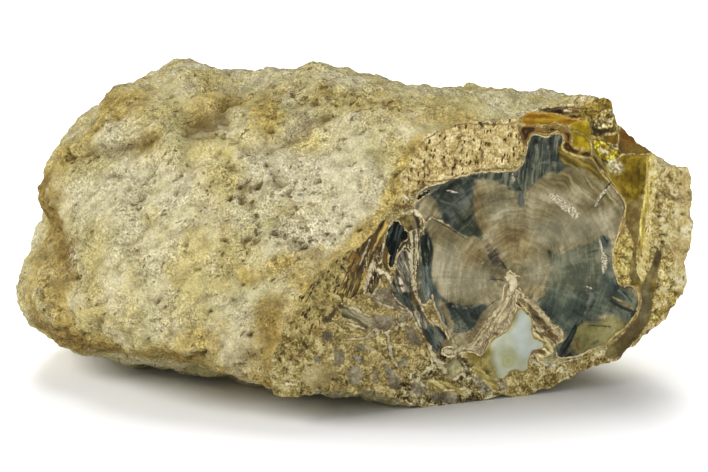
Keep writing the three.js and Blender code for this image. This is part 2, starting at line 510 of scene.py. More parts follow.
@dataclass
class Crust:
    """The stone's weathered outside, as a fine closed mesh that is not yet sawn.

    Widths, heights and depths are in millimetres. Knobs and pits are drawn out along the run.
    """

    voxel: float = 0.52
    saw_allowance: float = 6.0
    smoothing: int = 14
    triangles: int = 158_000
    broad_height: float = 1.0
    broad_width: float = 13.0
    lump_height: float = 0.85
    lump_width: float = 4.6
    knob_height: float = 0.75
    knob_width: float = 2.1
    kink_height: float = 0.5
    kink_width: float = 1.7
    pit_width: float = 1.5
    pit_depth: float = 1.3
    # A pit opens where its pattern is above the first, and is at its deepest this far above that.
    pit_opens: float = 0.66
    pit_slope: float = 0.35
    pit_everywhere: float = 0.25
    stretch: float = 0.5
    seed: int = 7
    run: Vector = field(default_factory=lambda: Vector((0.45, -0.6, 0.66)).normalized())

    def merged_copy(self, solid: Object) -> Object:
        """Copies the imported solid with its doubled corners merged, and lengthens it past the saw cut.

        Args:
            solid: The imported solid.

        Returns:
            A new object that reaches the saw allowance in front of the polished face.
        """
        shape = bmesh.new()
        shape.from_mesh(solid.data)
        bmesh.ops.remove_doubles(shape, verts=shape.verts[:], dist=1e-6)
        front = min(vert.co.y for vert in shape.verts)
        cap = [face for face in shape.faces if all(vert.co.y - front < 1e-5 for vert in face.verts)]
        pulled = bmesh.ops.extrude_face_region(shape, geom=cap)["geom"]
        moved = [item for item in pulled if isinstance(item, bmesh.types.BMVert)]
        bmesh.ops.translate(shape, verts=moved, vec=(0, -self.saw_allowance * MM, 0))
        mesh = bpy.data.meshes.new(f"{NODE}_stone")
        shape.to_mesh(mesh)
        shape.free()
        return show(mesh.name, mesh)

    def finish_with(self, stone: Object, kind: str, **settings: object) -> None:
        """Puts one modifier on the stone and makes its result the stone's mesh.

        Args:
            stone: The stone.
            kind: The modifier's type.
            settings: The modifier's settings.
        """
        modifier = stone.modifiers.new(kind.lower(), kind)
        for name, value in settings.items():
            setattr(modifier, name, value)
        graph = bpy.context.evaluated_depsgraph_get()
        made = bpy.data.meshes.new_from_object(stone.evaluated_get(graph))
        stone.modifiers.clear()
        rough = stone.data
        stone.data = made
        bpy.data.meshes.remove(rough)

    def grains_at(self, at: Vector, pitted: float) -> tuple[float, float]:
        """The crust's fine relief at one point.

        Args:
            at: The point in drawing-frame millimetres.
            pitted: The share of possible pits that are there.

        Returns:
            The relief in millimetres, and how deep in a pit the point is, from 0 to 1.
        """
        broad = noise.fractal(at / self.broad_width, 1.0, 2.0, 3)
        lump = noise.fractal(at / self.lump_width, 0.9, 2.1, 3)
        along = at.dot(self.run)
        kink = self.kink_height * noise.noise_vector(at / self.kink_width)
        drawn_out = at + (self.stretch - 1) * along * self.run + kink
        knob = noise.voronoi(drawn_out / self.knob_width)[0][0]
        hole = noise.fractal(drawn_out / self.pit_width, 1.0, 2.0, 2)
        pit = min(max((hole - self.pit_opens + 0.6 * pitted) / self.pit_slope, 0.0), 1.0)
        relief = (self.broad_height * broad + self.lump_height * (1 + 0.6 * pitted) * lump
                  + self.knob_height * (1 + pitted) * (0.35 - knob * knob) - self.pit_depth * pit)
        # The furrows between the knobs get a little dirt and painted shade too.
        furrow = min(max(1.6 * knob - 0.75, 0.0), 0.45)
        return relief, max(pit, furrow)

    def roughen(self, stone: Object, drawing: DrawingFrame) -> None:
        """Moves the stone's skin in and out along its normals, and keeps it on and above the floor.

        Args:
            stone: The even, closed stone.
            drawing: The drawing frame.
        """
        mesh = stone.data
        places = places_of(mesh)
        normals = np.empty(len(mesh.vertices) * 3)
        mesh.vertex_normals.foreach_get("vector", normals)
        drawn = drawing.drawn(places)
        pitted = np.full(len(drawn), self.pit_everywhere)
        for patch in PITTED:
            pitted = np.maximum(pitted, patch.weight(drawn))
        relief = sum(feature.relief(drawn) for feature in (*CREASES, *HOLLOWS))
        # The kinks are drawn from a seed of their own, so that every run gives the same stone.
        noise.seed_set(self.seed)
        fine = np.array([self.grains_at(Vector(at), share) for at, share in zip(drawn, pitted)])
        places += normals.reshape(-1, 3) * ((relief + fine[:, 0]) * MM)[:, None]
        places[:, 2] = np.maximum(places[:, 2], 0.0)
        mesh.vertices.foreach_set("co", places.ravel())
        # The large hollows get dirt and painted shade as well, though less than the pits.
        sunken = np.clip(-relief - 0.5, 0, 1) * 0.8
        store(mesh, "pit", np.clip(fine[:, 1] + sunken, 0, 1))
        store(mesh, "pitted", pitted)

    def stain(self, mesh: bpy.types.Mesh, drawn: np.ndarray) -> None:
        """Keeps where the crust is ochre, brown and pale.

        Args:
            mesh: The stone's mesh.
            drawn: Its corners in drawing-frame millimetres.
        """
        for name, patches in (("ochre", OCHRE), ("brown", BROWN), ("pale", PALE)):
            weights = np.max([patch.weight(drawn) for patch in patches], axis=0)
            store(mesh, name, weights)

    def build(self, solid: Object, drawing: DrawingFrame) -> Object:
        """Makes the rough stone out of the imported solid.

        Args:
            solid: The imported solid.
            drawing: The drawing frame.

        Returns:
            The stone, with a pitted crust all over and the saw allowance still on.
        """
        stone = self.merged_copy(solid)
        self.finish_with(stone, "REMESH", mode="VOXEL", voxel_size=self.voxel * MM)
        self.finish_with(stone, "SMOOTH", factor=0.5, iterations=self.smoothing)
        self.roughen(stone, drawing)
        share = self.triangles / (2 * len(stone.data.polygons))
        self.finish_with(stone, "DECIMATE", decimate_type="COLLAPSE", ratio=share)
        for vert in stone.data.vertices:
            vert.co.z = max(vert.co.z, 0.0)
        log.info("crust: %d triangles", len(stone.data.polygons))
        return stone


class Grain(Enum):
    """The patterns that a mineral may have in the cut."""

    CALM = "almost even"
    CLOUDS = "soft clouds"
    WOOD = "soft clouds with faint growth rings and rays round the pith"
    RINGS = "plain growth rings round the pith"
    FIBRES = "fibres that run one way"
    CRUMBS = "angular crumbs"
    CRYSTALS = "bright grains with dark gaps"
    SPONGE = "walls with pores between them"
    BANDS = "bands that follow the mineral's own edge"


@dataclass(frozen=True)
class Zone:
    """One mineral's area on the polished face, with its colours from dark to light.

    Each point of an outline has two numbers: right of the pith, and above it.
    """

    name: str
    outlines: tuple[Chain, ...]
    colours: tuple[str, str, str]
    grain: Grain = Grain.CLOUDS
    run: float = 0.0
    corners: int = 2
    fray: float = 0.5
    blur: float = 0.12
    strength: float = 1.0
    rim: str = ""
    rim_width: float = 0.3
    roughness: float = 0.3
    pores: float = 0.0

    @property
    def reach(self) -> float:
        """How far outside its outlines the zone may show, in millimetres."""
        return 1.8 * self.fray + self.blur + self.rim_width

    def depth(self, points: np.ndarray) -> np.ndarray:
        """How deep inside the zone each point of the face is, in millimetres, and negative outside."""
        best = np.full(len(points), FAR_OUTSIDE)
        for chain in self.outlines:
            outline = in_points(chain, 2)
            near = close_to(points, outline, self.reach + 1.0)
            best[near] = np.maximum(best[near], depth_inside(points[near], rounded(outline, self.corners)))
        return best


@dataclass(frozen=True)
class Vein:
    """Thin strokes of one mineral.

    Each point of a stroke has three numbers: right of the pith, above it, and the stroke's half width.
    """

    name: str
    strokes: tuple[Chain, ...]
    colours: tuple[str, str]
    fray: float = 0.5
    blur: float = 0.12
    strength: float = 1.0
    edging: str = ""
    even: bool = False
    grainy: bool = False
    margin: float = 1.3

    def field(self, points: np.ndarray) -> np.ndarray:
        """For each point of the face the offset from the nearest stroke and the stroke's half width.

        Args:
            points: Points of the face, right of the pith and above it, in millimetres.

        Returns:
            The offset's two parts and the half width, which is -1 well away from every stroke.
        """
        best = np.full(len(points), np.inf)
        nearest = np.full((len(points), 3), -1.0)
        for stroke in self.strokes:
            line = rounded_open(in_points(stroke, 3))
            for start, end in zip(line, line[1:]):
                near = np.flatnonzero(close_to(points, (start, end), 2 * self.margin))
                start, end = np.array(start), np.array(end)
                along = end[:2] - start[:2]
                share = np.clip((points[near] - start[:2]) @ along / max(along @ along, 1e-9), 0, 1)
                away = points[near] - start[:2] - share[:, None] * along
                distance = np.linalg.norm(away, axis=1)
                nearer = distance < best[near]
                width = start[2] + share * (end[2] - start[2])
                best[near[nearer]] = distance[nearer]
                nearest[near[nearer]] = np.column_stack([away, width])[nearer]
        nearest[best > nearest[:, 2] + self.margin, 2] = -1.0
        return nearest


def close_to(points: np.ndarray, path: Path, margin: float) -> np.ndarray:
    """Which points lie in the box round a path, grown by a margin all round."""
    corners = np.array([corner[:2] for corner in path])
    return np.all((points > corners.min(axis=0) - margin) & (points < corners.max(axis=0) + margin), axis=1)


def rounded(outline: Path, times: int = 2) -> Path:
    """Cuts the corners of a closed outline, so that it turns smoothly."""
    for _ in range(times):
        outline = tuple(
            tuple(share * a + (1 - share) * b for a, b in zip(here, there))
            for here, there in zip(outline, outline[1:] + outline[:1])
            for share in (0.75, 0.25)
        )
    return outline


def rounded_open(line: Path, times: int = 2) -> Path:
    """Cuts the corners of an open line, and keeps its two ends."""
    for _ in range(times):
        cut = tuple(
            tuple(share * a + (1 - share) * b for a, b in zip(here, there))
            for here, there in zip(line, line[1:])
            for share in (0.75, 0.25)
        )
        line = (line[0], *cut[1:-1], line[-1])
    return line


def depth_inside(points: np.ndarray, outline: Path) -> np.ndarray:
    """How deep inside a closed outline each point is, and negative outside it."""
    distance, _ = nearest_on_path(points, outline, closed=True)
    inside = np.zeros(len(points), bool)
    for (ax, az), (bx, bz) in zip(outline, outline[1:] + outline[:1]):
        crosses = (az > points[:, 1]) != (bz > points[:, 1])
        inside ^= crosses & (points[:, 0] < (bx - ax) * (points[:, 1] - az) / (bz - az + 1e-12) + ax)
    return np.where(inside, distance, -distance)


BRECCIA = ("5E5028", "92804A", "C0B07A")

# The minerals of the polished face, in the order in which they lie over each other.
ZONES = (
    Zone("sponge", (
        (-42, 14, -33, 21, -29, 24, -28, 30, -25, 37, -14, 41, 0, 41, 1.2, 36, 0.9, 33.5, 1.6, 31, 3, 29,
         1, 27.6, -4, 26, -13, 25, -17, 24, -21, 23.6, -24.5, 22.5, -26, 19.5, -29, 18.5, -33, 15.5,
         -38, 10),
    ), ("4A3412", "A48E54", "D8CA98"), Grain.SPONGE, run=78, roughness=0.75, pores=0.9),
    Zone("left_crumbs", (
        (-60, 12, -50, 8, -45, 0, -47, -8, -44, -16, -42, -26, -60, -24),
    ), ("54441C", "8E7E46", "BAAC7C"), Grain.CRUMBS, fray=2.2, blur=1.5, roughness=0.8, pores=0.8),
    Zone("beige_patch", (
        (-51, -15.6, -46, -14.4, -42.4, -16, -42, -18.8, -46, -20.6, -50.5, -19.4),
    ), ("64562E", "988A5A", "C4B890"), blur=0.9, fray=1.2, strength=0.75, roughness=0.7),
    Zone("ochre_edge", (
        (-47, -9, -53, -8, -53, 0, -47, 6, -40, 14, -33, 22, -28, 25, -26, 21.5, -29, 18.4, -32, 16,
         -36.4, 12.4, -39.6, 8.4, -41, 3, -43, -2, -45, -5),
    ), ("3C2E10", "806F3C", "B2A468"), Grain.SPONGE, run=60, fray=1.8, blur=1.1, roughness=0.75, pores=0.6),
    Zone("brown_streaks", (
        (-30.4, 17, -34, 14.7, -37, 11.7, -39.6, 9, -40.4, 5, -41.4, 2, -41, -1.4, -38.4, -0.6, -36, 0.4,
         -33, -0.4, -31.6, 2.6, -31.8, 6, -31.3, 10, -30.4, 14),
    ), ("0C0806", "54401C", "C0A654"), Grain.FIBRES, run=62, fray=1.0, roughness=0.45),
    Zone("plum_brown", (
        (-40.2, 5, -38, 5.6, -36.4, 4.4, -36.6, 1.4, -38.6, 0.2, -40.4, -1.2, -40.8, 2),
        (-34.4, 5, -33, 5.4, -32.2, 3.4, -33.4, 0.8, -35, 0),
    ), ("0C0806", "54441F", "CCB464"), Grain.FIBRES, run=70, fray=0.9, blur=0.3, roughness=0.4),
    Zone("mauve", (
        (-34.4, -1.2, -31.6, 1, -29.5, 0.6, -28.8, -2.2, -26, -4.8, -29, -4, -31.4, -3.2),
        (-33.4, -5.2, -28.9, -5.2, -28.7, -7.4, -30.6, -8.8, -33.6, -7.8, -36, -8.2),
        (-27.8, -5.4, -25.2, -5.4, -25.6, -7, -27.8, -7.6),
        (-26.2, -8.4, -24.6, -8.6, -22.8, -11.2, -22.6, -12.6, -24.8, -12.6, -26.1, -10.8),
        (-40.1, -16.4, -37.4, -16.2, -36.2, -18.4, -36.8, -20.6, -39.6, -20.2),
        (-31.4, -15.4, -29.8, -17, -28.4, -19.2, -27, -20.6, -27.4, -22.8, -29.8, -22.2, -30.6, -19,
         -31.6, -17),
        (-33.8, -17.4, -32, -18, -33, -20.6, -34.6, -20),
        (-27.6, -15.4, -25.4, -16, -25.5, -17.4, -27.6, -17.2),
        (-43, -11.6, -40.8, -12.8, -40.6, -15, -42.8, -15.6),
        (-47.9, -13, -46.2, -12.6, -46, -14.8, -47.8, -14.8),
        (-46, -7.2, -43.2, -7.8, -43.4, -9.8, -46, -9.4), (-38.8, -13.4, -36.4, -14.4, -37.4, -15.6),
        (-35.6, -12.4, -34, -12.2, -34.4, -14),
    ), ("16181A", "585248", "B8B49C"), corners=0, fray=0.7, blur=0.2, strength=0.7, roughness=0.3),
    Zone("olive_shard", (
        (-41.2, -2.8, -38, -2.9, -35.4, -5.2, -33.6, -6.6, -35.4, -8, -37.4, -6.4, -39, -5.6, -41.2, -4.8),
        (-38.4, -11, -34.8, -11.2, -34.2, -12.8, -37.6, -13),
    ), ("3A3622", "6A6446", "A49A74"), Grain.FIBRES, run=-38, corners=0, fray=0.5, roughness=0.3),
    Zone("margin_left", (
        (-25, -19, -21, -16, -16, -16, -12, -15.2, -8, -16.6, -6.5, -18, -5, -22, -1, -23, 0, -31, -24, -31,
         -30, -24),
    ), ("1E140A", "7A6A36", "C8C096"), Grain.CRUMBS, fray=1.4, blur=0.5, roughness=0.6, pores=0.6),
    Zone("margin_right", (
        (-2, -21.5, 3, -20.5, 6, -18, 12, -19.4, 20, -19, 26, -16.6, 30, -14.6, 36, -18, 26, -26, 12, -30,
         -3, -31),
    ), ("544010", "9A884E", "CEC69C"), Grain.CRUMBS, fray=1.1, blur=0.4, roughness=0.6, pores=0.6),
    Zone("mustard_bands", (
        (-21, -20.4, -17, -21.6, -13.4, -23.2, -10.6, -24, -11, -25.4, -14, -25.6, -17.6, -24.2,
         -20.4, -22.6),
        (-10.4, -18.4, -7.6, -19.8, -4.6, -22.6, -2.8, -25, -4.4, -26, -6.6, -23, -9.4, -20.8),
    ), ("5E4A10", "A4924A", "E2DEB4"), Grain.FIBRES, run=-32, fray=0.7, blur=0.3, roughness=0.45),
    Zone("grey_lenses", (
        (-25, -20.8, -22.4, -21.4, -20.6, -23, -21.6, -24.8, -24.2, -23.6),
        (-20.4, -24, -16, -24.8, -13, -25.4, -13.2, -27.4, -18.4, -26.8),
        (-9.8, -21, -7.8, -21.2, -7.2, -23, -9.2, -23.2), (-7.4, -23.4, -5.4, -24, -4.8, -26, -7, -25.6),
        (-3, -23.4, -1.6, -23.4, -1, -25, -2.8, -26),
    ), ("080808", "706A56", "F0E4C8"), corners=1, fray=1.0, blur=0.4, strength=0.75, roughness=0.3),
    Zone("tan_lobe", (
        (-1.6, -23, 0.4, -21.8, 3.4, -22.4, 6.4, -22.4, 8, -23.8, 5, -25, 1, -24.7, -1, -24.3),
    ), ("72622A", "B09E64", "DAD09A"), Grain.CRUMBS, fray=0.8, roughness=0.5, pores=0.3),
    Zone("drab_olive", (
        (-16.2, -16.8, -13.4, -16.8, -12, -18.8, -12.8, -20.8, -14.6, -21.6, -16.2, -20.6),
        (7, -17.4, 9.6, -16.4, 11.2, -17.8, 12.4, -19.3, 14.4, -19.5, 13, -20.6, 10.4, -20.8, 8, -20.1),
    ), ("1C1E08", "928A60", "F2E8AE"), blur=0.3, roughness=0.3),
    Zone("amber_shade", (
        (-12.6, -15.4, -9, -16.2, -7, -15.4, -5.6, -17.4, -4.8, -20, -6, -20.6, -8.4, -19.6, -11, -18.2),
    ), ("302408", "7C6C2E", "C4B878"), blur=0.6, fray=0.8, roughness=0.3),
    Zone("right_crust", (
        (35, 29, 48, 26, 49, 0, 46, -10, 40, -18, 33, -21, 30, -16, 32, -10, 34, -4, 34.8, 0, 35, 10,
         35.4, 20, 35.4, 25.6),
    ), ("685222", "9E8C50", "C2BA88"), Grain.CRUMBS, fray=1.2, roughness=0.75, pores=0.8),
    Zone("sandy_edge", (
        (40.6, 26, 46, 26, 46.5, -8, 42, -7, 41.4, -2, 41.4, 6, 40.4, 12.6, 42, 18),
    ), ("6C5028", "B09E68", "E8E4C4"), fray=1.3, blur=0.9, strength=0.75, roughness=0.7, pores=0.5),
    Zone("olive_rubble", (
        (35.6, -4, 37.4, 1.6, 39.6, 1, 41.6, -5, 43, -9, 38, -17, 33.6, -16.4, 35, -12),
    ), ("6E5E24", "A28E48", "D6CA94"), Grain.CRUMBS, fray=1.0, blur=0.5, roughness=0.7, pores=0.6),
    Zone("low_agate", (
        (37.4, 4.4, 36.4, 3.8, 35.5, 1.6, 34.7, -0.8, 33.4, -3.6, 31.6, -4.2, 32.8, -6.6, 32.6, -9.4,
         31.6, -12, 29.4, -14.6, 26.4, -16.6, 24, -18.6, 23.4, -20.8, 27.4, -21, 30, -18.6, 32.8, -16.2,
         34.9, -13.6, 35.8, -10, 36, -6.4, 36.9, -4.4, 36.9, -1, 37.9, 1.6),
    ), ("32260E", "584A28", "867A48"), fray=0.6, blur=0.3, roughness=0.25),
    Zone("low_core", (
        (33.4, -4.2, 34.6, -4.8, 34.8, -8, 34.4, -11.4, 33.4, -13.6, 32.4, -13.2, 33.2, -10.6, 33.4, -7.4),
    ), ("423A1E", "5E583C", "867E5C"), fray=0.25, blur=0.35, roughness=0.2),
    Zone("low_gold", (
        (35.6, -3.4, 36.6, -3, 36.9, -4.4, 36.2, -6.4, 35.6, -6.4),
        (30.2, -2.6, 31.6, -2.4, 33.2, -4, 31.8, -4.6, 29.6, -4),
    ), ("281C06", "5A4808", "8E7828"), blur=0.4, roughness=0.25),
    Zone("top_crust", (
        (2, 36.6, 5, 38.4, 9, 38.5, 14, 38.8, 20, 40.4, 26, 43, 2, 43),
    ), ("745F2A", "A8986A", "D4C6A8"), Grain.CRUMBS, roughness=0.8, pores=0.4),
    Zone("grey_brown", (
        (4.6, 38.6, 8, 38.1, 11, 38.3, 15, 38.1, 17.4, 37.4, 19.6, 37.2, 20, 36, 18, 35, 14.4, 35.3,
         12, 36.2, 10.4, 37.2, 7, 37.7),
    ), ("140C06", "6C5426", "CCAE54"), Grain.FIBRES, run=-6, rim="3A2E16", rim_width=0.1, roughness=0.4),
    Zone("amber", (
        (1.2, 35.9, 2.2, 35, 5, 34.9, 8, 34.8, 11, 34.9, 13.2, 34.2, 15, 34.5, 18.3, 35, 15.6, 35.3,
         12.6, 36, 10.6, 37, 8, 37.1, 5, 37.6, 3, 37.5),
    ), ("6A4606", "86600A", "9E8420"), Grain.FIBRES, run=-4, fray=0.6, blur=0.2, rim="B4893C",
       rim_width=0.1, roughness=0.2),
    Zone("brown_layer", (
        (0.9, 34.8, 2.4, 34.9, 5, 34.7, 7.4, 33.8, 9, 34.3, 10.8, 34.5, 12.6, 33.3, 13.8, 32.5, 14.2, 31.2,
         13.8, 29.7, 15, 28.9, 17, 28.3, 19.1, 27.6, 19, 26.6, 16, 27, 13, 28, 11.7, 28.9, 11.7, 29.8,
         12.5, 31.2, 12.3, 32.1, 10.8, 33.1, 9.4, 33, 8, 32.2, 5.2, 33.4, 3.2, 31.9, 2.8, 30, 1.6, 31.4),
    ), ("1C1006", "422C0C", "8C6C30"), Grain.BANDS, fray=0.5, blur=0.12, roughness=0.25),
    Zone("yellow_agate", (
        (13.6, 34.5, 15.4, 34.9, 18.1, 35, 18.5, 33.6, 18.9, 31.6, 19.1, 29.6, 19, 28, 17, 28.4, 15, 29,
         14, 29.8, 14.4, 31.5, 13.9, 33),
    ), ("302606", "867006", "CCB41C"), fray=0.5, blur=0.5, roughness=0.15),
    Zone("vug_crust", (
        (15.4, 37.6, 18, 39, 20.4, 40.4, 23.6, 40.4, 24.4, 37.8, 25.8, 36, 25.4, 34, 25.6, 32, 24, 31.5,
         22.6, 31.8, 21.4, 30.8, 20, 30.9, 18.9, 32, 18.4, 33.6, 18.4, 35, 16.6, 35.2),
    ), ("403008", "78641E", "A48C3E"), Grain.CRUMBS, fray=0.6, roughness=0.6, pores=1.2),
    Zone("vug_hollow", (
        (18.7, 34.6, 18.9, 32.6, 20.2, 31.6, 22.2, 31.7, 24.3, 32, 25.6, 33.6, 25.3, 35, 24.4, 33.4,
         22.8, 32.9, 20.8, 32.8, 19.6, 33.8),
    ), ("161206", "2E2A10", "4E4622"), blur=0.3, fray=0.7, roughness=0.6),
    Zone("vug_druse", (
        (19.4, 35.4, 21, 36.6, 23.4, 37.4, 24.8, 36.2, 25, 34, 24.6, 32.8, 22.4, 33, 20.8, 32.6,
         19.8, 33.6),
    ), ("544616", "DAC264", "F4F4E8"), Grain.CRYSTALS, fray=0.8, blur=0.3, roughness=0.4, pores=2.0),
    Zone("outer_brown", (
        (25, 37, 28.4, 34.4, 31.6, 32, 34, 29.4, 35.6, 26.4, 31, 26.5, 28.6, 26.6, 27, 26.6, 25.9, 27.8,
         25.9, 29.8, 26.2, 31.6, 25.4, 33.4),
    ), ("342406", "5C460E", "806824"), blur=0.2, fray=0.6, roughness=0.3),
    Zone("pale_strip", (
        (24.9, 36.8, 26.6, 34.6, 27.2, 32.6, 26.4, 31.6, 25.5, 33),
    ), ("7A6A44", "908056", "A49468"), blur=0.3, roughness=0.3),
    Zone("orange_brown", (
        (21.4, 31, 23, 31.4, 24.6, 31.3, 25.8, 31.7, 25.9, 29.6, 25.2, 28.8, 23.2, 29.7),
    ), ("302406", "6E540A", "8C8C1E"), blur=0.25, fray=0.4, roughness=0.15),
    Zone("orange_eye", (
        (26.2, 33.1, 28.4, 33.4, 30.4, 31.6, 29.6, 29.6, 27.2, 29.8, 26.2, 31.2),
    ), ("4A2C06", "6E4608", "946C1A"), blur=0.7, fray=0.6, strength=0.85, roughness=0.2),
    Zone("violet_strip", (
        (18.9, 30.4, 19.2, 27.6, 20, 25.8, 22, 23.4, 23.8, 21, 25.4, 19.2, 26, 20.4, 24.6, 22.6, 22.8, 24.8,
         21.4, 26.4, 20.4, 28, 19.8, 30.2),
    ), ("322006", "7A6A2C", "C8C068"), Grain.FIBRES, run=-52, fray=0.4, roughness=0.3),
    Zone("yellow_lumps", (
        (19.2, 30.8, 20.8, 30.4, 22.4, 30, 24.4, 28.8, 25.6, 27.9, 26.8, 26.8, 24.8, 25.9, 23, 25.5,
         21.4, 26, 20.5, 27.2, 19.7, 28.8),
    ), ("5E4E06", "B09810", "D4D050"), Grain.CRYSTALS, fray=0.7, rim="5E4E14", rim_width=0.18,
       roughness=0.35, pores=0.7),
    Zone("olive_amber", (
        (24.8, 24.2, 26.8, 26.6, 29, 26.4, 33.3, 26.2, 33.4, 22, 33, 19, 32.4, 16.6, 30.6, 15.6, 28.5, 15.4,
         27.6, 16.8, 26, 18.8, 24.4, 20.8, 24, 23),
    ), ("221606", "604C06", "9C8622"), fray=0.35, blur=0.12, roughness=0.15),
    Zone("amber_dark", (
        (31, 25, 32.6, 25.4, 33.6, 22, 33.2, 17.4, 31.6, 16, 31.2, 19, 30.9, 22),
        (27.6, 17.8, 28.8, 18.2, 29.8, 16.4, 28.6, 15.2), (24.4, 23, 25.2, 23.4, 28, 19.4, 27, 18.8),
    ), ("0A0804", "3A2A04", "94801C"), blur=0.6, strength=0.8, roughness=0.15),
    Zone("crystal_spot", (
        (22.9, 25.1, 24.8, 25.5, 26.4, 24.9, 28, 23.8, 27, 22.3, 25, 22.6, 23.8, 23.6),
    ), ("706640", "A89E70", "DAD6AC"), Grain.CRYSTALS, fray=0.8, blur=0.5, roughness=0.35),
    Zone("grey_agate", (
        (28.4, 15.8, 30.6, 15.8, 32.5, 16.8, 32.8, 13, 32.1, 9.6, 31.6, 6, 31.2, 2, 31.8, -1.6, 33, -3.8,
         30.4, -3.4, 29.4, -2, 29.6, 1, 30.4, 4.6, 30, 7, 28.8, 9, 28.2, 10.6, 28.2, 12.6),
    ), ("3A2E10", "645226", "948450"), Grain.CLOUDS, fray=0.4, roughness=0.2),
    Zone("pale_foot", (
        (29.6, 2, 30.6, 3, 31.2, 0.6, 32, -1.6, 31.2, -2.8, 29.8, -2.4),
    ), ("30240A", "80743F", "CEC27C"), blur=0.4, strength=0.85),
    Zone("tan_strip", (
        (26.2, 14, 28, 13.6, 27.9, 11, 28.3, 9, 29.8, 7.2, 28, 7, 26.2, 7.6, 25.8, 11),
    ), ("72582C", "C0AA60", "F2EAAE"), Grain.FIBRES, run=86, fray=0.5, blur=0.3, roughness=0.4),
    Zone("cream_lobe", (
        (25.4, 8, 28, 8.4, 29.8, 7.4, 30.5, 5, 30.1, 2.4, 29.7, 0, 29.5, -2, 28.9, -3.8, 27, -3.8, 26, -2,
         25.5, 0.4, 25.1, 3.2),
    ), ("6A521E", "A28C44", "CAC27C"), Grain.CRUMBS, fray=0.8, roughness=0.6, pores=0.5),
    Zone("cream_band", (
        (33.3, 26.6, 33.4, 22, 33, 18.6, 32.6, 15, 32.2, 12, 32, 8, 31.4, 4, 31.2, 0.8, 31.7, -1.4,
         33.2, -4, 34.4, -0.6, 35, 3, 35.1, 8, 35.1, 12, 35.8, 16, 36, 20, 35.8, 24, 35.7, 27),
    ), ("806824", "B09E58", "D8CC9C"), Grain.SPONGE, run=88, fray=0.6, roughness=0.45, pores=0.3),
    Zone("mustard_band", (
        (33.3, 26.2, 33.4, 22, 33, 18.6, 32.6, 15, 32.2, 12, 32, 8, 31.4, 4, 31.3, 0.8, 32.6, 1, 33, 5,
         33.4, 10, 33.9, 15, 34.3, 20, 34.4, 26.2),
    ), ("422606", "A48C28", "F4EA84"), Grain.FIBRES, run=88, fray=0.5, blur=0.4, strength=0.85,
       roughness=0.4),
    Zone("strand_ground", (
        (-30.5, 16, -26, 16.5, -23.4, 17, -22, 12, -23.4, 6, -24.4, 0, -22, -5.6, -18.6, -11, -16.2, -12.6,
         -17.4, -15.4, -19, -15.2, -22.2, -10.6, -24.8, -5, -26, -4.6, -28.6, -2.4, -29.8, 0.4, -29.4, 2.6,
         -28.4, 5.4, -28.2, 9),
    ), ("141610", "3A3528", "706444"), Grain.FIBRES, run=100, fray=0.8, blur=0.3),
    Zone("strand_olive", (
        (-28, 16.4, -26.4, 17, -24.6, 16.8, -24.4, 15, -25, 13.4, -25.8, 12.8, -26.6, 14, -27.8, 15.6),
        (-23.8, 5.4, -22.5, 5, -21.8, 1, -21.5, -3, -22.8, -3.4, -23.5, -0.6, -23.9, 1.5),
        (-24.6, -1, -23.8, -1.6, -22.9, -4, -24.4, -3.4),
    ), ("080806", "504620", "A48E54"), blur=0.3, fray=0.4, roughness=0.25),
    Zone("strand_grey", (
        (-27.3, 9.2, -26, 8.8, -25.1, 7.8, -24.9, 5, -24.8, 2.6, -25.4, 1.4, -27, 2.6, -28.1, 5, -28, 7.5),
        (-29.6, 1, -28.8, 3.6, -27.4, 3, -26.2, 1.6, -24.9, 1, -24.9, -0.6, -27, -0.4, -29, -0.2),
        (-25, -4.8, -22.6, -5, -20.6, -8, -20.8, -10, -22.8, -8.6),
    ), ("080E10", "6E6C5A", "E4D0B0"), Grain.FIBRES, run=108, fray=0.5, blur=0.25, roughness=0.3),
    Zone("strand_blue", (
        (-21.4, -8.4, -19, -8.6, -17.6, -9.4, -16.4, -11, -16, -13, -17.8, -13.4, -18.2, -15.2, -19, -15.2,
         -20.2, -12.6, -21.2, -10.8),
        (-28.8, -0.4, -26.6, -0.8, -24.9, -2.6, -24.4, -4.6, -26.6, -3.8, -28.4, -2.2),
    ), ("121818", "3F483F", "82806C"), Grain.FIBRES, run=120, fray=0.5, blur=0.2, roughness=0.2),
    Zone("wood", (
        (-24.6, 19.2, -23.2, 21.8, -21, 22.8, -17, 23.6, -13, 24.6, -9, 25.3, -4, 25, 0, 24.6, 1.8, 25.8,
         2.8, 28, 3.2, 30.6, 4, 32.3, 5.2, 33, 7, 32.2, 8, 32, 9.8, 32.8, 12, 31.8, 12, 30.8, 11.3, 29.6,
         11.3, 28.6, 13, 27.7, 16, 26.7, 19, 26.3, 20.4, 24.6, 22, 22.4, 23.6, 20.8, 25.4, 18.8, 27, 17,
         28.2, 15.2, 28.2, 13.8, 27.2, 11, 26.2, 8, 25.4, 5, 25.2, 1, 26.3, -3, 27.6, -4, 29.8, -4.1,
         31.6, -5, 32.4, -7.6, 32.1, -9.6, 31, -11.6, 29, -13.8, 26.4, -15.4, 24, -17.4, 21, -18.2, 18, -19,
         14.6, -19.6, 12, -19.6, 11, -18.4, 11, -16.6, 12.8, -15, 11.6, -12.8, 9.6, -11, 8.4, -9.4, 5, -6.2,
         2.4, -4.2, 1, -2, -1, -2.6, -2.6, -4.6, -5.6, -8, -8.6, -11.6, -10, -14, -12.6, -14.2,
         -14.2, -14.4, -15.4, -12, -17.4, -8.6, -19, -5, -19.9, -2, -21.4, -4, -22.8, -3.6, -23.4, -1,
         -24, 1.6, -23.6, 5, -22.8, 9, -22, 12.6, -21.6, 14.8, -22.8, 16.6, -24, 18),
    ), ("101718", "5E5C44", "B4A47E"), Grain.WOOD, fray=0.45, rim="CDB98A", rim_width=0.13),
    Zone("north_west", (
        (-20.6, 20.8, -18, 22.6, -14, 23.8, -10.4, 24.8, -9.4, 22.6, -9.6, 19, -9.4, 16.4, -8, 13.4,
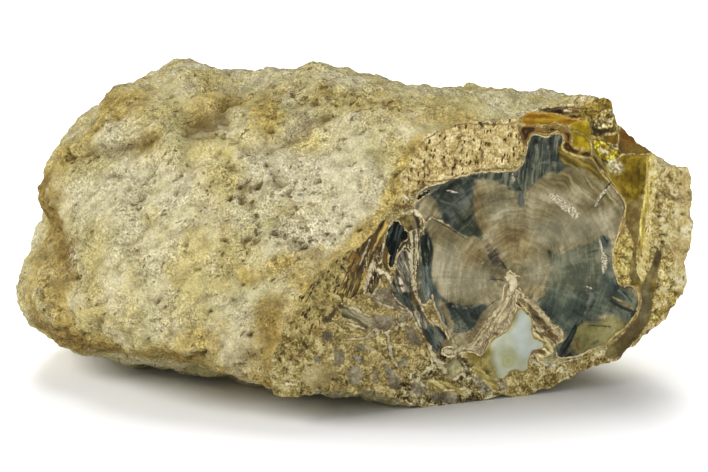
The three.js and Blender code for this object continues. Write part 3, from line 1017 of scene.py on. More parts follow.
         -7, 11.4, -8.6, 10.4, -11.6, 10.5, -15, 12.9, -17.8, 15.4, -18.4, 18),
    ), ("0F1410", "333930", "62665A"), Grain.WOOD, blur=0.7, fray=0.6),
    Zone("north_west_deep", (
        (-14, 14, -12, 18, -10.4, 18.4, -9.8, 15, -8, 11.6, -10.4, 11.2, -13, 12.4),
        (-19.6, 21.2, -15, 23.2, -11, 24.4, -12.6, 22.6, -16, 21.6),
    ), ("0B0D07", "2C3120", "606048"), Grain.WOOD, blur=1.2, fray=0.8, strength=0.85),
    Zone("top_band", (
        (-14, 24, -9, 25, -4, 24.8, 0, 24.6, 1.8, 25.8, 3, 29, 4, 32.2, 5.2, 32.8, 8, 31.8, 10, 32.6,
         11.8, 31.6, 11.2, 29.6, 11.4, 28.4, 13.6, 27, 14.6, 25, 12, 24.4, 8.6, 23.9, 6, 22.6, 4.4, 21.4,
         3, 19.4, 2.9, 17, 1.8, 15.8, 0.6, 17, 0.8, 19.6, -1, 21.2, -4, 22.8, -8, 23.6),
    ), ("12181A", "3C4236", "74745A"), Grain.FIBRES, run=84, blur=0.3, fray=0.7),
    Zone("top_deep", (
        (8.8, 25.8, 12.4, 26, 13.6, 24.8, 12, 23.6, 10.2, 22.8, 9.4, 24),
        (-1.6, 21.6, 0, 22.4, 2, 21.6, 1.8, 20, 0.2, 20), (4, 31.4, 5, 32, 6.6, 31, 6, 29.6, 4.4, 29.6),
    ), ("060706", "394134", "ACA67E"), Grain.CLOUDS, blur=0.6, strength=0.85),
    Zone("top_pale", (
        (0.7, 19.4, 1.4, 20, 2.6, 19.4, 2.7, 16.8, 1.8, 15.9, 0.9, 17),
        (-0.8, 24.4, 0.2, 24.6, 0.4, 23.2, -0.4, 22.6),
    ), ("2A2924", "42403C", "5C5950"), Grain.FIBRES, run=86, blur=0.35, strength=0.8),
    Zone("left_band", (
        (-22.6, 13, -20.6, 12.6, -19.3, 9, -19.5, 5.5, -19.8, 2, -18.4, -1.2, -16.8, -3, -15.4, -6,
         -14.4, -9, -15, -10.4, -17.6, -7.8, -19.2, -4.6, -20, -1.8, -21.4, -3.6, -22, 0, -22.6, 4,
         -22.6, 8),
    ), ("222A2A", "525A52", "8A8A76"), Grain.FIBRES, run=98, blur=0.4, fray=0.5),
    Zone("left_black", (
        (-22.6, 13.2, -20.4, 12.8, -19.2, 9, -19.5, 6, -20.6, 4.6, -22.4, 5, -22.8, 8.4),
    ), ("050605", "242B23", "949672"), Grain.FIBRES, run=98, blur=0.5, fray=0.5),
    Zone("south_west", (
        (-19.4, -1, -17.4, -2.2, -15.4, -4.1, -12, -5.1, -8.6, -5, -5, -4.7, -7.2, -7, -8.6, -8.8,
         -9.8, -10.8, -11.6, -11.2, -14, -11.4, -15, -9.4, -16, -6.8, -17.6, -3.6),
    ), ("111813", "353C34", "686B58"), Grain.WOOD, blur=0.4, fray=0.5),
    Zone("taupe_flank", (
        (-2.4, -3.4, -3, -5.2, -5.4, -8.2, -8, -10.8, -9.6, -13.2, -11, -14.4, -13.8, -14, -13.8, -11.8,
         -11.6, -11, -9.7, -10.6, -8.6, -8.8, -7.2, -7, -4.8, -4.8),
        (-17.6, -13.8, -17.2, -12.6, -15.8, -12.4, -14.6, -13.2, -15.4, -14.4),
        (-18.2, -3, -16.9, -3.6, -15.4, -6, -14.2, -9.4, -14.8, -10.4, -16.4, -7.8, -18.2, -5.4),
    ), ("4E422C", "726646", "9C926C"), Grain.WOOD, blur=0.35, fray=0.6),
    Zone("south_east", (
        (13, -1, 18, -3, 25, -2, 27, -4.4, 31.2, -5.4, 31.9, -8, 31, -11.4, 28.4, -12.6, 25, -10.2,
         20, -11.2, 17, -12, 15.4, -13.6, 13, -14.6, 11.6, -12.6, 9.6, -10.6, 8, -8, 5.6, -5.6, 8, -3.4,
         10, -2),
    ), ("242C26", "444C3F", "6A705A"), Grain.WOOD, blur=0.9, fray=0.6),
    Zone("east", (
        (9.4, 5, 14, 5.4, 20, 6.4, 22, 7.6, 24.8, 7, 25, 1, 25.6, -3, 20, -4.6, 12, -3.6, 8, -2.4, 9.2, 1),
    ), ("363D2E", "525541", "78785E"), Grain.WOOD, blur=0.7, fray=0.6),
    Zone("east_blue", (
        (20.6, 8.2, 22.8, 8.8, 25, 7, 24.8, 3.4, 23.4, 5.4, 21.8, 5.2, 20.6, 6.6),
        (22.6, -0.2, 25.2, 0.4, 26, -3.4, 23, -4.2, 21.8, -2),
    ), ("0A141A", "404A42", "82846C"), Grain.CLOUDS, blur=0.6, strength=0.85),
    Zone("lobes", (
        (-20.4, 15.9, -15, 12.7, -11.2, 10.5, -9, 10.8, -7.3, 9.2, -6.2, 6, -4.4, 3.9, -2, 3, 0, 1, 0, -1,
         -1.8, -3, -3, -3.7, -6.6, -4.7, -11.6, -4.9, -14.8, -4, -17.2, -2, -19.3, 0.6, -19.9, 4, -19.3, 9,
         -20.8, 12.6, -20.9, 14.6),
        (-22.7, 19.3, -21, 20.7, -19.4, 19.6, -18.4, 17.4, -18.6, 16, -20.8, 16, -22.8, 17),
        (-10, 17, -9.6, 21.5, -8.6, 23.2, -5, 23, -2, 21.4, 0.4, 20, 0.9, 17.4, 1.8, 16, 2.8, 17, 3, 19.4,
         4.6, 21.6, 6.6, 22.6, 9, 24, 10.6, 23, 12, 24.3, 15, 24.8, 19, 25, 21, 22.8, 23.4, 20.4, 26, 17.8,
         27.6, 15, 27.4, 12, 26.2, 8.6, 24.8, 7.6, 22.8, 8.8, 21.4, 8.2, 20, 6.8, 15, 6, 10.4, 5.8,
         8.2, 6.2, 9.2, 4, 9.4, 1, 8.4, -1.6, 7, -2.5, 8.8, -4.7, 5.6, -4.2, 3, -3.2, 1, -1, -0.5, 1,
         -3.4, 5.9, -5.6, 9, -7.4, 11.6, -9, 14.4),
    ), ("504830", "746A48", "9C9272"), Grain.WOOD, fray=0.55, blur=0.4),
    Zone("grey_heart", (
        (-19, 9, -13, 9, -9, 4, -5, 2, -6, -3, -13, -3.6, -18, 0, -19.4, 4),
        (4, 12, 12, 13.6, 20, 13, 25, 14, 25, 9, 20, 8, 12, 7, 5, 7.4),
        (3, 3.4, 8, 4.6, 8.4, 0, 5, -2, 2.6, 0),
    ), ("76725A", "8F896E", "B0A88C"), Grain.WOOD, blur=2.0, fray=1.0, strength=0.6),
    Zone("rust", (
        (-13, 9, -8, 9.4, -6.6, 6, -9, 3.4, -12.6, 4.6),
        (-3.8, 9, -1.2, 4.4, 2, 3.4, 5, 6, 5, 10, 0.6, 11.6, -4, 12.6),
        (2, -2.4, 5, -1.4, 8.6, -4.4, 5, -4.6),
        (-9.6, 22, -7, 22.4, -7.4, 17, -5.4, 11, -7.4, 11.4, -9.6, 16),
    ), ("5A4828", "827046", "A69668"), Grain.WOOD, blur=1.6, fray=0.8, strength=0.7),
    Zone("crackled", (
        (-8, 20.4, -2, 20.4, 0.6, 17.6, -1, 14.4, -6, 14, -8.4, 16.4),
    ), ("44402C", "77735A", "B2B098"), Grain.WOOD, blur=1.8, fray=1.0, strength=0.4),
    Zone("arcs", (
        (6, 21.6, 11, 23, 17, 23, 22, 20, 25.6, 16, 23, 15.4, 18, 19, 12, 20.6),
    ), ("221606", "60542C", "A0905A"), Grain.RINGS, blur=1.2, fray=0.6, strength=0.75),
    Zone("olive_top", (
        (10.6, 29.6, 11.8, 28.7, 14.4, 27.5, 17, 26.5, 19, 26.3, 20.4, 24.8, 22, 22.4, 24, 20.2, 22.4, 20.2,
         19.6, 22.4, 17, 24, 13.6, 25, 11.4, 26),
    ), ("362806", "604E08", "8C7620"), Grain.RINGS, blur=0.6, fray=0.7, strength=0.9),
    Zone("wedge", (
        (-6.9, 9.8, -5.2, 9.3, -3.6, 6.1, -1.5, 2.4, -2.5, 3, -4, 3.4, -5, 3.6, -6.3, 6),
    ), ("080604", "4C4030", "A6926E"), Grain.WOOD, blur=0.35, fray=0.35, strength=0.9),
    Zone("olive_patch", (
        (15.2, -15, 16.2, -12.8, 18, -11.7, 22, -11.1, 24, -10.5, 26, -11, 28, -12.4, 29.2, -13.5,
         27.2, -14.8, 25, -16.2, 24.4, -17.1, 22.6, -17.8, 20.4, -18.2, 18.4, -18.5, 16.4, -18.8, 15, -17),
    ), ("484424", "767040", "9C9464"), blur=0.4, fray=0.6, roughness=0.25),
    Zone("v_left", (
        (-1.5, 2.2, 0.2, 1.8, 0.9, 0.2, 0.8, -2.4, 1.1, -5, 0.8, -8, -0.6, -10, -1.4, -11.8, -3.2, -12.8,
         -4.8, -12.4, -5.4, -13.6, -6.6, -15.6, -8, -17, -9.4, -15.6, -12.8, -15.8, -15, -16.4, -17, -15.6,
         -17.4, -14.1, -15.6, -13.9, -13.8, -14.5, -12, -14, -10.4, -14.6, -8.2, -12.6, -6.2, -10.2,
         -5.4, -8.4, -3.6, -6.6, -2.3, -5.2, -2.2, -3, -1.8, -1),
    ), ("483E2C", "8A7A58", "CEC096"), Grain.FIBRES, run=58, fray=0.45, blur=0.12, rim="D9C9A0",
       rim_width=0.13, roughness=0.45),
    Zone("v_right", (
        (1.2, -2.6, 2.8, -4, 4.8, -5.6, 6.6, -7, 8.4, -9.2, 9.4, -9.8, 9.8, -11.2, 12, -11.8, 13.2, -14.6,
         12.4, -16, 11, -15.6, 10.8, -18, 9, -18.6, 7.6, -18.6, 6, -18.8, 4.6, -18, 6, -16.9, 8.2, -16.6,
         9.4, -15.4, 7, -14.4, 5.6, -13.8, 5, -12.4, 5.4, -10.4, 4, -8.2, 2.2, -6.4, 0.9, -6.6, 0.8, -4),
    ), ("080604", "705E3A", "E8DA9A"), Grain.FIBRES, run=-44, fray=0.6, blur=0.12, rim="C9B488",
       rim_width=0.12, roughness=0.45),
    Zone("pool", (
        (2, -6.6, 3.2, -7.6, 4.4, -8.8, 5.1, -10, 4.9, -11.4, 5, -13, 5.6, -14, 7, -14.8, 8.2, -15.4,
         8, -16.6, 6.4, -16.8, 5.2, -17.4, 4.4, -18.6, 4.1, -20, 4.2, -21.3, 3, -21.7, 1, -21.1,
         -0.4, -21.3, -1.2, -22.4, -2.2, -23.1, -3.6, -22.6, -4.4, -21, -5.2, -19, -5.8, -17, -5.6, -15,
         -5, -13.4, -3.4, -12.8, -1.6, -12, -0.4, -10.6, 0.4, -9, 1, -7.6),
    ), ("949472", "AAAE94", "C2C4B4"), Grain.CALM, fray=0.25, rim="8B7A48", rim_width=0.2, roughness=0.15),
    Zone("pool_blue", (
        (2, -7.4, 4, -9.6, 4.2, -12, 4.6, -14.6, 7, -15.8, 5, -17.2, 3.4, -19, 1.6, -17.4, 0, -14.6,
         0.6, -11),
    ), ("A0A89E", "B0B8B0", "C2C8C6"), Grain.CALM, fray=0.4, blur=1.3, strength=0.9, roughness=0.15),
    Zone("pool_edge", (
        (-6.6, -14.6, -5, -13.9, -4.4, -16, -4.6, -18, -3.6, -20.6, -2.6, -22.6, -4.6, -23, -6, -20.6,
         -7, -17),
        (-1.8, -12.4, 0, -11.6, 1.4, -8.8, 1.6, -6.6, 0.2, -8.4, -1.2, -11),
    ), ("342808", "786C30", "C4B87E"), Grain.CALM, fray=0.3, blur=0.9, strength=0.8, roughness=0.2),
    Zone("black_chunk", (
        (-30.6, 13, -29.8, 15.2, -28.6, 16.2, -27.4, 15.4, -26, 13.2, -25.5, 11.8, -27.2, 10.4, -28.2, 8.8,
         -28.6, 6, -29, 4.6, -30, 4.7, -30.6, 6, -30.2, 8.8, -31.2, 10.6),
        (-24.5, 19.4, -23.6, 20.7, -21.6, 21.8, -20.2, 22.2, -21.6, 20.9, -22.9, 19.8),
    ), ("050606", "0A100D", "38423B"), Grain.FIBRES, run=74, fray=0.8, rim="B7A070", rim_width=0.12,
       roughness=0.12),
    Zone("amber_slip", (
        (-31.7, 11, -31, 11, -30.2, 9, -30.5, 6.2, -29.7, 4.6, -29.2, 4, -30.4, 4, -31.8, 6.4),
    ), ("241F10", "443D20", "665C32"), fray=0.3, blur=0.15, roughness=0.15),
    Zone("slit", (
        (11.6, -19.4, 12.9, -18.8, 15, -16.2, 15.5, -15, 16.7, -12.2, 15.7, -12, 14.2, -14.4, 12.8, -15.9,
         12.3, -17),
    ), ("121714", "252C26", "3C423A"), Grain.FIBRES, run=60, fray=0.3, roughness=0.2),
)

# Thin strokes and small spots over the minerals: cream strands, cracks, slivers with painted glints, pits
# with painted shade, and grains of crystal.
VEINS = (
    # Faint pale strokes over the dark wood: thin slivers, and painted glints where fine scratches in the
    # polish catch the light.
    Vein("faint_slivers_and_glints", (
        (18.5, -9.4, 0.3, 19.4, -7, 0.7, 20.4, -5, 0.6), (18.6, -4.9, 0.15, 21.6, -5, 0.2),
        (17.4, -2.9, 0.12, 20, -4, 0.25), (23.6, 4, 0.3, 24.4, 1.8, 0.5),
        (-18.6, 19.6, 0.1, -15, 18.4, 0.2, -12, 16.6, 0.1), (-20.6, 21.2, 0.12, -18, 22.8, 0.18),
        (-5, 22.8, 0.1, -1, 23.4, 0.16), (4, 26.2, 0.1, 8, 26.4, 0.2, 12, 25.6, 0.1),
        (5.4, 30, 0.3, 5.6, 27.6, 0.15), (8.4, 30, 0.2, 8.2, 27.4, 0.3), (-20.8, 3, 0.2, -20.6, -1, 0.3),
        (-15, -4.6, 0.15, -11, -5.5, 0.25, -8.4, -5.2, 0.1), (26.9, -5, 0.2, 29.6, -7.4, 0.35),
        (13, -3, 0.1, 16, -5.4, 0.25), (12, 2.4, 0.15, 15, 3.4, 0.3, 18, 3, 0.1),
    ), ("303830", "90907E"), fray=0.5, blur=0.3, strength=0.55),
    Vein("pale_slivers", (
        (22.4, 5, 0.25, 23, 3, 0.75, 23.1, 1, 0.7, 22.8, -0.4, 0.3), (21.6, 7.6, 0.2, 22.2, 5.6, 0.3),
        (20.5, 15.4, 0.3, 21.4, 17, 0.55, 23, 18.8, 0.35, 23.8, 19.6, 0.15),
        (9.1, 18.6, 0.6, 11, 17.4, 0.85, 13.4, 15.4, 0.95, 15.7, 13.6, 0.8),
        (-16.6, 21.6, 0.1, -15, 21.2, 0.25, -13.6, 21, 0.1), (18.5, -3.2, 0.15, 19.8, -3.8, 0.2),
        (-0.5, 24.2, 0.1, -0.1, 22.8, 0.3), (-7.8, 4.6, 0.12, -7.3, 4.5, 0.15),
        (-7.4, -0.3, 0.15, -7.2, -0.3, 0.15), (-26.1, 20.4, 0.5, -25.4, 20.8, 0.3),
    ), ("4E462A", "D8CEB2"), fray=0.35, even=True, grainy=True, strength=0.9),
    Vein("browned_edges", (
        (-25.4, 24.7, 0.12, -22, 23.9, 0.2, -17, 23.8, 0.18, -13.4, 24.8, 0.16),
        (-10, 25.8, 0.2, -6, 25.6, 0.14, -2, 25.4, 0.16, 1, 25.3, 0.1),
        (-26.4, 26, 0.12, -25, 30, 0.12, -22, 33.2, 0.14, -18, 35.3, 0.14, -13, 36.2, 0.16, -8, 35.9, 0.16,
         -3, 35.4, 0.16, 1.2, 35.8, 0.14),
        (-17.4, 28.4, 0.6, -16.6, 26.8, 0.5, -15.8, 26.2, 0.2), (-21, 27.4, 0.25, -20.4, 25.4, 0.3),
        (-8.2, 30.6, 0.3, -7.8, 29, 0.45, -8, 27.4, 0.15), (-13.6, 32.4, 0.2, -14.2, 30.6, 0.3),
        (-17.6, 33, 0.2, -16.8, 31.4, 0.2), (-13.1, 27.2, 0.3, -12.7, 26.8, 0.3),
        (0.9, 34.4, 0.3, 1.8, 32.4, 0.6, 2.5, 30.6, 0.4),
        (-28.8, 19.6, 0.5, -26.8, 18.6, 0.8, -25, 19, 0.5), (-24.6, 21.6, 0.2, -21.4, 23.2, 0.25),
        (9, 37.9, 0.15, 13, 38.4, 0.15, 17.4, 37.6, 0.2), (11.4, -14.4, 0.4, 9.4, -13.6, 0.6),
        (-4.6, -12, 0.4, -3.8, -12.1, 0.4), (5, -17.5, 0.4, 6.6, -17.4, 0.5, 8.4, -17.4, 0.3),
        (16.4, -16.6, 0.5, 17, -17.8, 0.3),
    ), ("4A3418", "6C4E28"), fray=0.6, blur=0.18, strength=0.85),
    Vein("rust_spots", (
        (27.4, 28.9, 1.2, 28.6, 28.8, 1.2), (26.5, 31, 0.4, 27, 29.6, 0.5),
        (24.5, 22.4, 0.2, 26, 20.2, 0.35, 27.8, 18.2, 0.25), (-47.2, -6.8, 0.7, -46.4, -6.9, 0.5),
        (-52.6, -12, 0.6, -51, -12.6, 0.5), (33.9, 14.5, 0.3, 34.4, 14.3, 0.3),
        (22.6, 30, 0.15, 24.6, 30.4, 0.35), (-38.4, 8.6, 0.8, -36.4, 8, 0.6),
        (-31.2, 9.4, 0.2, -30.9, 6.4, 0.25), (-33.2, -17.2, 0.3, -35, -19, 0.3),
    ), ("442806", "90681A"), fray=0.9, blur=0.6, strength=0.6),
    Vein("cream_strands", (
        (-25, 13, 0.3, -24.7, 10, 0.3, -24.8, 6, 0.3, -24.5, 3, 0.42, -24.3, 0.4, 0.36, -23.4, -2, 0.25,
         -22, -4.4, 0.22, -21.6, -6, 0.18, -19.2, -9, 0.12),
        (-24.9, 13.1, 0.1, -23.6, 13.7, 0.14, -23.3, 11, 0.16, -23.6, 8.8, 0.2, -23.1, 6.8, 0.28,
         -23.2, 5.4, 0.14),
        (-22.6, 13.4, 0.1, -21.8, 12.4, 0.14),
        (-26.2, 10.2, 0.1, -27.8, 8.6, 0.2, -28.6, 6.8, 0.24, -28.2, 4.8, 0.18, -27, 3.6, 0.12),
        (-26, 8.8, 0.1, -25.4, 8.4, 0.2, -25.2, 6, 0.2),
        (-29.4, -0.4, 0.14, -28, -2.6, 0.14, -25.4, -4.4, 0.2, -24.4, -6.4, 0.22, -23, -9, 0.24,
         -21.2, -12, 0.28, -19.6, -14.6, 0.34, -18.2, -17, 0.6, -17, -19, 0.75, -16.3, -19.9, 0.3),
        (-19.6, -1.8, 0.14, -19.4, -3.8, 0.2, -18.4, -5.8, 0.22, -17, -8.6, 0.2, -15.6, -10.6, 0.22,
         -14.6, -12.6, 0.26, -13.9, -14.4, 0.3),
        (-41.6, -1.6, 0.1, -38.6, -3, 0.26, -35.8, -4.6, 0.26, -34, -5.2, 0.12),
        (-33.9, -1.5, 0.14, -31, -3.2, 0.24, -28.4, -4, 0.18, -26.3, -5, 0.16),
        (-40.4, -6, 0.12, -38, -6.9, 0.26, -36, -7.8, 0.22),
        (-40, -9.8, 0.12, -35.4, -10, 0.24, -33.6, -9.8, 0.4, -32.2, -8.6, 0.3),
        (-35.6, -9.4, 0.2, -33, -8, 0.2),
        (-30.4, -9.8, 0.26, -29.8, -12, 0.34, -29.6, -14.6, 0.34, -28.6, -16.6, 0.3, -27.3, -18, 0.16),
        (-28.4, -5.4, 0.1, -28.2, -7.2, 0.1),
        (-31, -9.4, 0.3, -28.6, -8.5, 0.3, -26.4, -7.9, 0.3, -25, -6.4, 0.3),
        (-34.6, 12.2, 0.12, -35.8, 9.6, 0.22, -37.2, 6.6, 0.14),
        (-33.6, 8.6, 0.12, -34.4, 6, 0.3, -35.2, 3.4, 0.62, -35.9, 1, 0.5, -36, 0, 0.1),
        (-32.6, 9, 0.1, -33.4, 7, 0.2, -34, 4.8, 0.14),
        (-31.2, 12.8, 0.12, -31.6, 9, 0.24, -32.4, 6.2, 0.22, -33, 4.6, 0.12),
        (-32.2, 3, 0.2, -32.6, 1.4, 0.36, -34.4, -0.9, 0.14),
        (-30.4, 15.5, 0.1, -29, 17, 0.14, -26.4, 17.3, 0.14, -24.6, 18.2, 0.3, -23.4, 16.6, 0.3),
        (-19.8, 15.8, 0.1, -18.2, 15.2, 0.2, -15.6, 13.4, 0.14), (-9.8, -15, 0.1, -8, -13, 0.1),
        (-24.4, 19.8, 0.1, -22.8, 21.8, 0.16, -21, 22.9, 0.1), (-21.7, 14.4, 0.1, -20, 16, 0.2),
        (-13.4, -16.6, 0.12, -11.8, -18.2, 0.4, -11, -19.8, 0.2), (-11.6, -12.4, 0.1, -10.5, -11.7, 0.14),
    ), ("725426", "C8C49E"), fray=0.45, edging="4E3A1E"),
    Vein("v_strands", (
        (-1.7, -2.6, 0.2, -2, -5, 0.34, -4, -7, 0.4, -5.8, -8.8, 0.3, -6.6, -11, 0.26, -8.6, -13.2, 0.28,
         -10, -14.9, 0.2),
        (0.2, -3.2, 0.3, 0.3, -5.6, 0.55, 0, -7.6, 0.5, -0.9, -9.8, 0.4, -1.5, -11, 0.2),
        (-4.9, -9.8, 0.3, -3.2, -10.4, 0.5, -2.2, -11, 0.4),
        (-5.6, -12, 0.1, -6.8, -15, 0.12, -7.4, -16.6, 0.1),
        (-6, -11, 0.1, -7.6, -14, 0.14, -8.6, -15.8, 0.1),
        (-16.8, -14.6, 0.4, -14.6, -15.4, 0.5, -12.4, -14.6, 0.3, -9, -15.2, 0.25),
        (2.4, -4.4, 0.2, 4.6, -5.8, 0.34, 6.4, -7.2, 0.4, 8, -9.2, 0.34, 8.8, -10, 0.3, 9.4, -11, 0.2),
        (5.4, -11.9, 0.3, 7.4, -12.4, 0.5, 8.2, -13.4, 0.3),
        (7.8, -13, 0.1, 9.8, -12.2, 0.2, 11.6, -12, 0.2), (11.2, -13.4, 0.3, 12.4, -14.6, 0.5),
        (10.4, -15.8, 0.2, 11.2, -17.4, 0.2, 11.2, -19, 0.12), (1.4, -2, 0.2, 2.6, -3.6, 0.3),
    ), ("6E582E", "CEC69E"), fray=0.5, edging="5A452A"),
    Vein("wood_edge", (
        (19.1, 26.5, 0.1, 20.6, 24.6, 0.14, 22, 22.4, 0.14, 23.6, 20.8, 0.14, 25.4, 18.8, 0.14,
         27, 17, 0.14, 28.3, 15.1, 0.16, 28.1, 13, 0.16, 27.4, 11, 0.1),
        (3, 30.4, 0.1, 3.4, 32, 0.15, 5.1, 33.4, 0.14, 8, 32.2, 0.15, 9.7, 33, 0.14, 10.9, 33, 0.14,
         12.5, 32, 0.14, 12.3, 30.8, 0.15, 11.6, 29.6, 0.18, 11.8, 28.7, 0.18, 14.4, 27.6, 0.18,
         16, 27, 0.2, 17.6, 26.6, 0.2, 19, 26.7, 0.14),
        (7.2, 34.1, 0.06, 9, 34.6, 0.08, 11, 34.8, 0.08, 13, 33.7, 0.08, 14.5, 33, 0.08, 17, 31.9, 0.1,
         18.9, 30.3, 0.1, 19.2, 28, 0.1),
        (27.2, -3.7, 0.15, 29.6, -4, 0.15, 31.6, -4.8, 0.16, 32.4, -7.2, 0.16, 32, -9.8, 0.15,
         30.6, -12.2, 0.16, 28.6, -14.1, 0.2, 26, -15.7, 0.2, 24, -17.6, 0.16),
        (23.8, -17.8, 0.1, 21.4, -18.8, 0.12, 19, -19.7, 0.12),
        (25.1, 36.6, 0.1, 26.4, 33.4, 0.14, 25.9, 31.6, 0.12, 26, 29.4, 0.1),
        (28, 26.9, 0.1, 31, 26.4, 0.12, 34, 26.3, 0.14),
    ), ("805C10", "C2B46A"), fray=0.4, edging="4A3714"),
    Vein("bright_cream", (
        (-32.6, 5, 0.3, -31, 4.2, 0.45, -30, 2.6, 0.5), (-24.4, 17.6, 0.4, -22.6, 16.4, 0.35),
        (-14.2, -21.7, 0.16, -12.6, -20.9, 0.5, -11.5, -20.8, 0.5),
        (5.8, -17.6, 0.14, 6.6, -19.4, 0.2, 8.4, -20.8, 0.24, 10.6, -21, 0.3, 13, -20.4, 0.22,
         16, -20.2, 0.2, 19.4, -19.9, 0.12),
        (-2, 0.9, 0.1, -0.6, 0.6, 0.9, 0.2, -0.6, 0.7, 0, -2, 0.5), (-1.4, 2, 0.2, -0.4, 1, 0.5),
        (0, 0.8, 0.3, 2, 0.6, 0.1), (-54, -18.4, 0.3, -52, -18.8, 0.4), (7, -12.1, 0.15, 7.8, -12.8, 0.2),
        (-17, -24, 0.2, -14.2, -24.1, 0.25), (-12.8, -24.1, 0.2, -11.6, -24.1, 0.2),
        (-23.6, -19.6, 0.2, -24.6, -21, 0.35), (21.4, 28.4, 0.4, 22.6, 27.8, 0.5, 23.4, 27, 0.2),
        (20.4, 34.6, 0.2, 21.4, 33.8, 0.25), (22.4, 35, 0.15, 23.8, 34.2, 0.25),
        (24.4, 28.7, 0.2, 25.6, 28, 0.2), (12.2, 37.7, 0.2, 14, 37.4, 0.14),
        (25.6, 24.2, 0.4, 26.2, 23.4, 0.3),
    ), ("AC9C70", "D6CCAC"), fray=0.7, edging="6E5C36"),
    Vein("crust_lumps", (
        (38, 21.4, 0.7, 38.4, 22.6, 0.4), (39.4, 18.6, 0.6, 40.2, 17, 0.5),
        (41.4, 17.4, 0.2, 41.6, 15.6, 0.4), (37.2, 15.8, 0.4, 37.3, 14.6, 0.3),
        (37.6, 11, 0.8, 38.4, 8.6, 0.8), (38.2, 3.8, 0.3, 39, 2.4, 0.3), (36.2, 6, 0.5, 36.4, 4.8, 0.3),
        (39.8, -2.2, 0.4, 40.6, -3, 0.4), (38.2, -5.6, 0.6, 39.2, -6.6, 0.4),
        (37, -8.8, 0.4, 38, -9.4, 0.3), (38.6, -12.6, 0.5, 37.4, -14.2, 0.4),
        (35.2, -14.6, 0.3, 34.2, -15.4, 0.3), (36.6, 24.2, 0.5, 37, 23, 0.4), (41, 10.8, 0.2, 41.6, 9, 0.3),
        (43, 14, 0.3, 42.4, 15, 0.3), (39.4, 6.2, 0.3, 40.6, 5.2, 0.2),
    ), ("A6965E", "C8BC90"), fray=1.0, blur=0.3, edging="7C6538"),
    Vein("mauve_veins", (
        (39.6, 15.9, 0.3, 41, 15.2, 0.5, 42.4, 15.1, 0.5),
        (39.2, 20.2, 0.1, 40.8, 19.2, 0.2, 41.6, 17.8, 0.2), (36.4, 17.4, 0.3, 38.4, 17, 0.4),
        (37, 13, 0.1, 38.8, 12.8, 0.2, 40.6, 10.2, 0.15), (38.6, 4.6, 0.3, 40.4, 3.4, 0.5),
        (39.8, -3.4, 0.2, 41.6, -5, 0.25), (39.6, -7.8, 0.3, 40.6, -10, 0.7, 40, -12.4, 0.4),
        (43.6, 2.2, 0.3, 44.6, 3.2, 0.4), (36.6, 21, 0.1, 37.6, 19.8, 0.25),
        (42.6, -1, 0.15, 42.4, -4.6, 0.2), (36.4, -2, 0.2, 38, -4, 0.15), (40, 23, 0.1, 42.6, 21.6, 0.15),
    ), ("3E301A", "907A4A"), fray=1.1, blur=0.25, strength=0.85),
    Vein("grey_spots", (
        (20.8, -17, 0.4, 21.8, -16.6, 0.5), (-5, 0.8, 0.4, -4.4, 0.4, 0.3),
        (-4.8, 3.8, 0.4, -4.3, 4.6, 0.3), (-15.4, 17.8, 0.8, -13.6, 17, 0.6),
        (25.6, -8.4, 0.4, 28, -10.6, 0.5), (20.4, -11.6, 0.4, 23.6, -11.8, 0.3),
        (11.4, -17, 0.5, 12, -18.6, 0.3),
    ), ("080C0B", "4A5244"), fray=0.8, blur=0.5, strength=0.8),
    Vein("cracks", (
        (-20.2, 15.9, 0.06, -16, 13.2, 0.12, -13, 11.2, 0.15, -11, 10, 0.06),
        (-6.8, 9.8, 0.05, -4, 6, 0.12, -1.4, 2.3, 0.16), (-6.4, 0.3, 0.05, -4.6, 0.7, 0.1, -2, -0.1, 0.1),
        (-7.6, -6.9, 0.1, -6, -5.5, 0.12, -3, -3.7, 0.06),
        (19, -12.4, 0.1, 22, -12.9, 0.15, 25, -13.3, 0.18),
        (20.3, 14.8, 0.06, 21.6, 16.6, 0.16, 23, 18, 0.12), (22.6, 19, 0.1, 24, 20.2, 0.3),
        (22.6, 8.2, 0.2, 23.6, 6.6, 0.3), (23, 4, 0.1, 24.6, 3, 0.12), (-0.6, 23.8, 0.08, 0.6, 23.4, 0.12),
        (-1.4, 21, 0.25, -0.9, 20.7, 0.25), (1, 20.6, 0.3, 1.7, 20.4, 0.25),
        (-4, -4.6, 0.06, 0.4, -3.4, 0.1), (0.8, -5.6, 0.2, 1.8, -6, 0.4),
        (-12.6, -6.8, 0.15, -12.2, -7.4, 0.15), (-10.4, -6.8, 0.2, -9.6, -7.4, 0.2),
        (-11.4, -8.8, 0.15, -10.4, -8.4, 0.12), (-13.4, -8.6, 0.1, -13, -9.8, 0.2),
        (-9.2, -9, 0.12, -9.8, -10, 0.15), (-14.6, -10.6, 0.15, -13.4, -10.8, 0.15),
        (-8.4, -6.6, 0.1, -8, -7.4, 0.15), (-11.6, -10.2, 0.12, -12.2, -10, 0.12),
        (16.6, -12.4, 0.2, 17.8, -11, 0.1), (21, -6.4, 0.1, 19.6, -9, 0.12), (18, 4.6, 0.06, 21.4, 5, 0.1),
        (25, -7.2, 0.3, 27.6, -9, 0.42, 30.2, -10, 0.3), (28.2, -5.4, 0.2, 30.6, -8.2, 0.2),
        (31.4, -10.2, 0.3, 30.4, -11.4, 0.2), (20.4, 15.6, 0.04, 21, 14.8, 0.04),
    ), ("10100C", "2A2A1E"), fray=0.3, blur=0.12, strength=0.9),
    # Small pits, painted and not cut into the face: dirt and painted shade.
    Vein("pits", (
        (-44.9, -5, 0.9, -43.4, -4.4, 0.7, -42.8, -3, 0.4), (-50.2, -9.6, 0.4, -49.6, -10.6, 0.5),
        (-41.8, -2.2, 0.4, -40.8, -2.8, 0.2), (-52, -13.3, 0.2, -51.4, -13.8, 0.2),
        (-46.4, 4.8, 0.1, -46.8, 3.2, 0.25), (-47.9, 3.4, 0.2, -47.6, 2.4, 0.2),
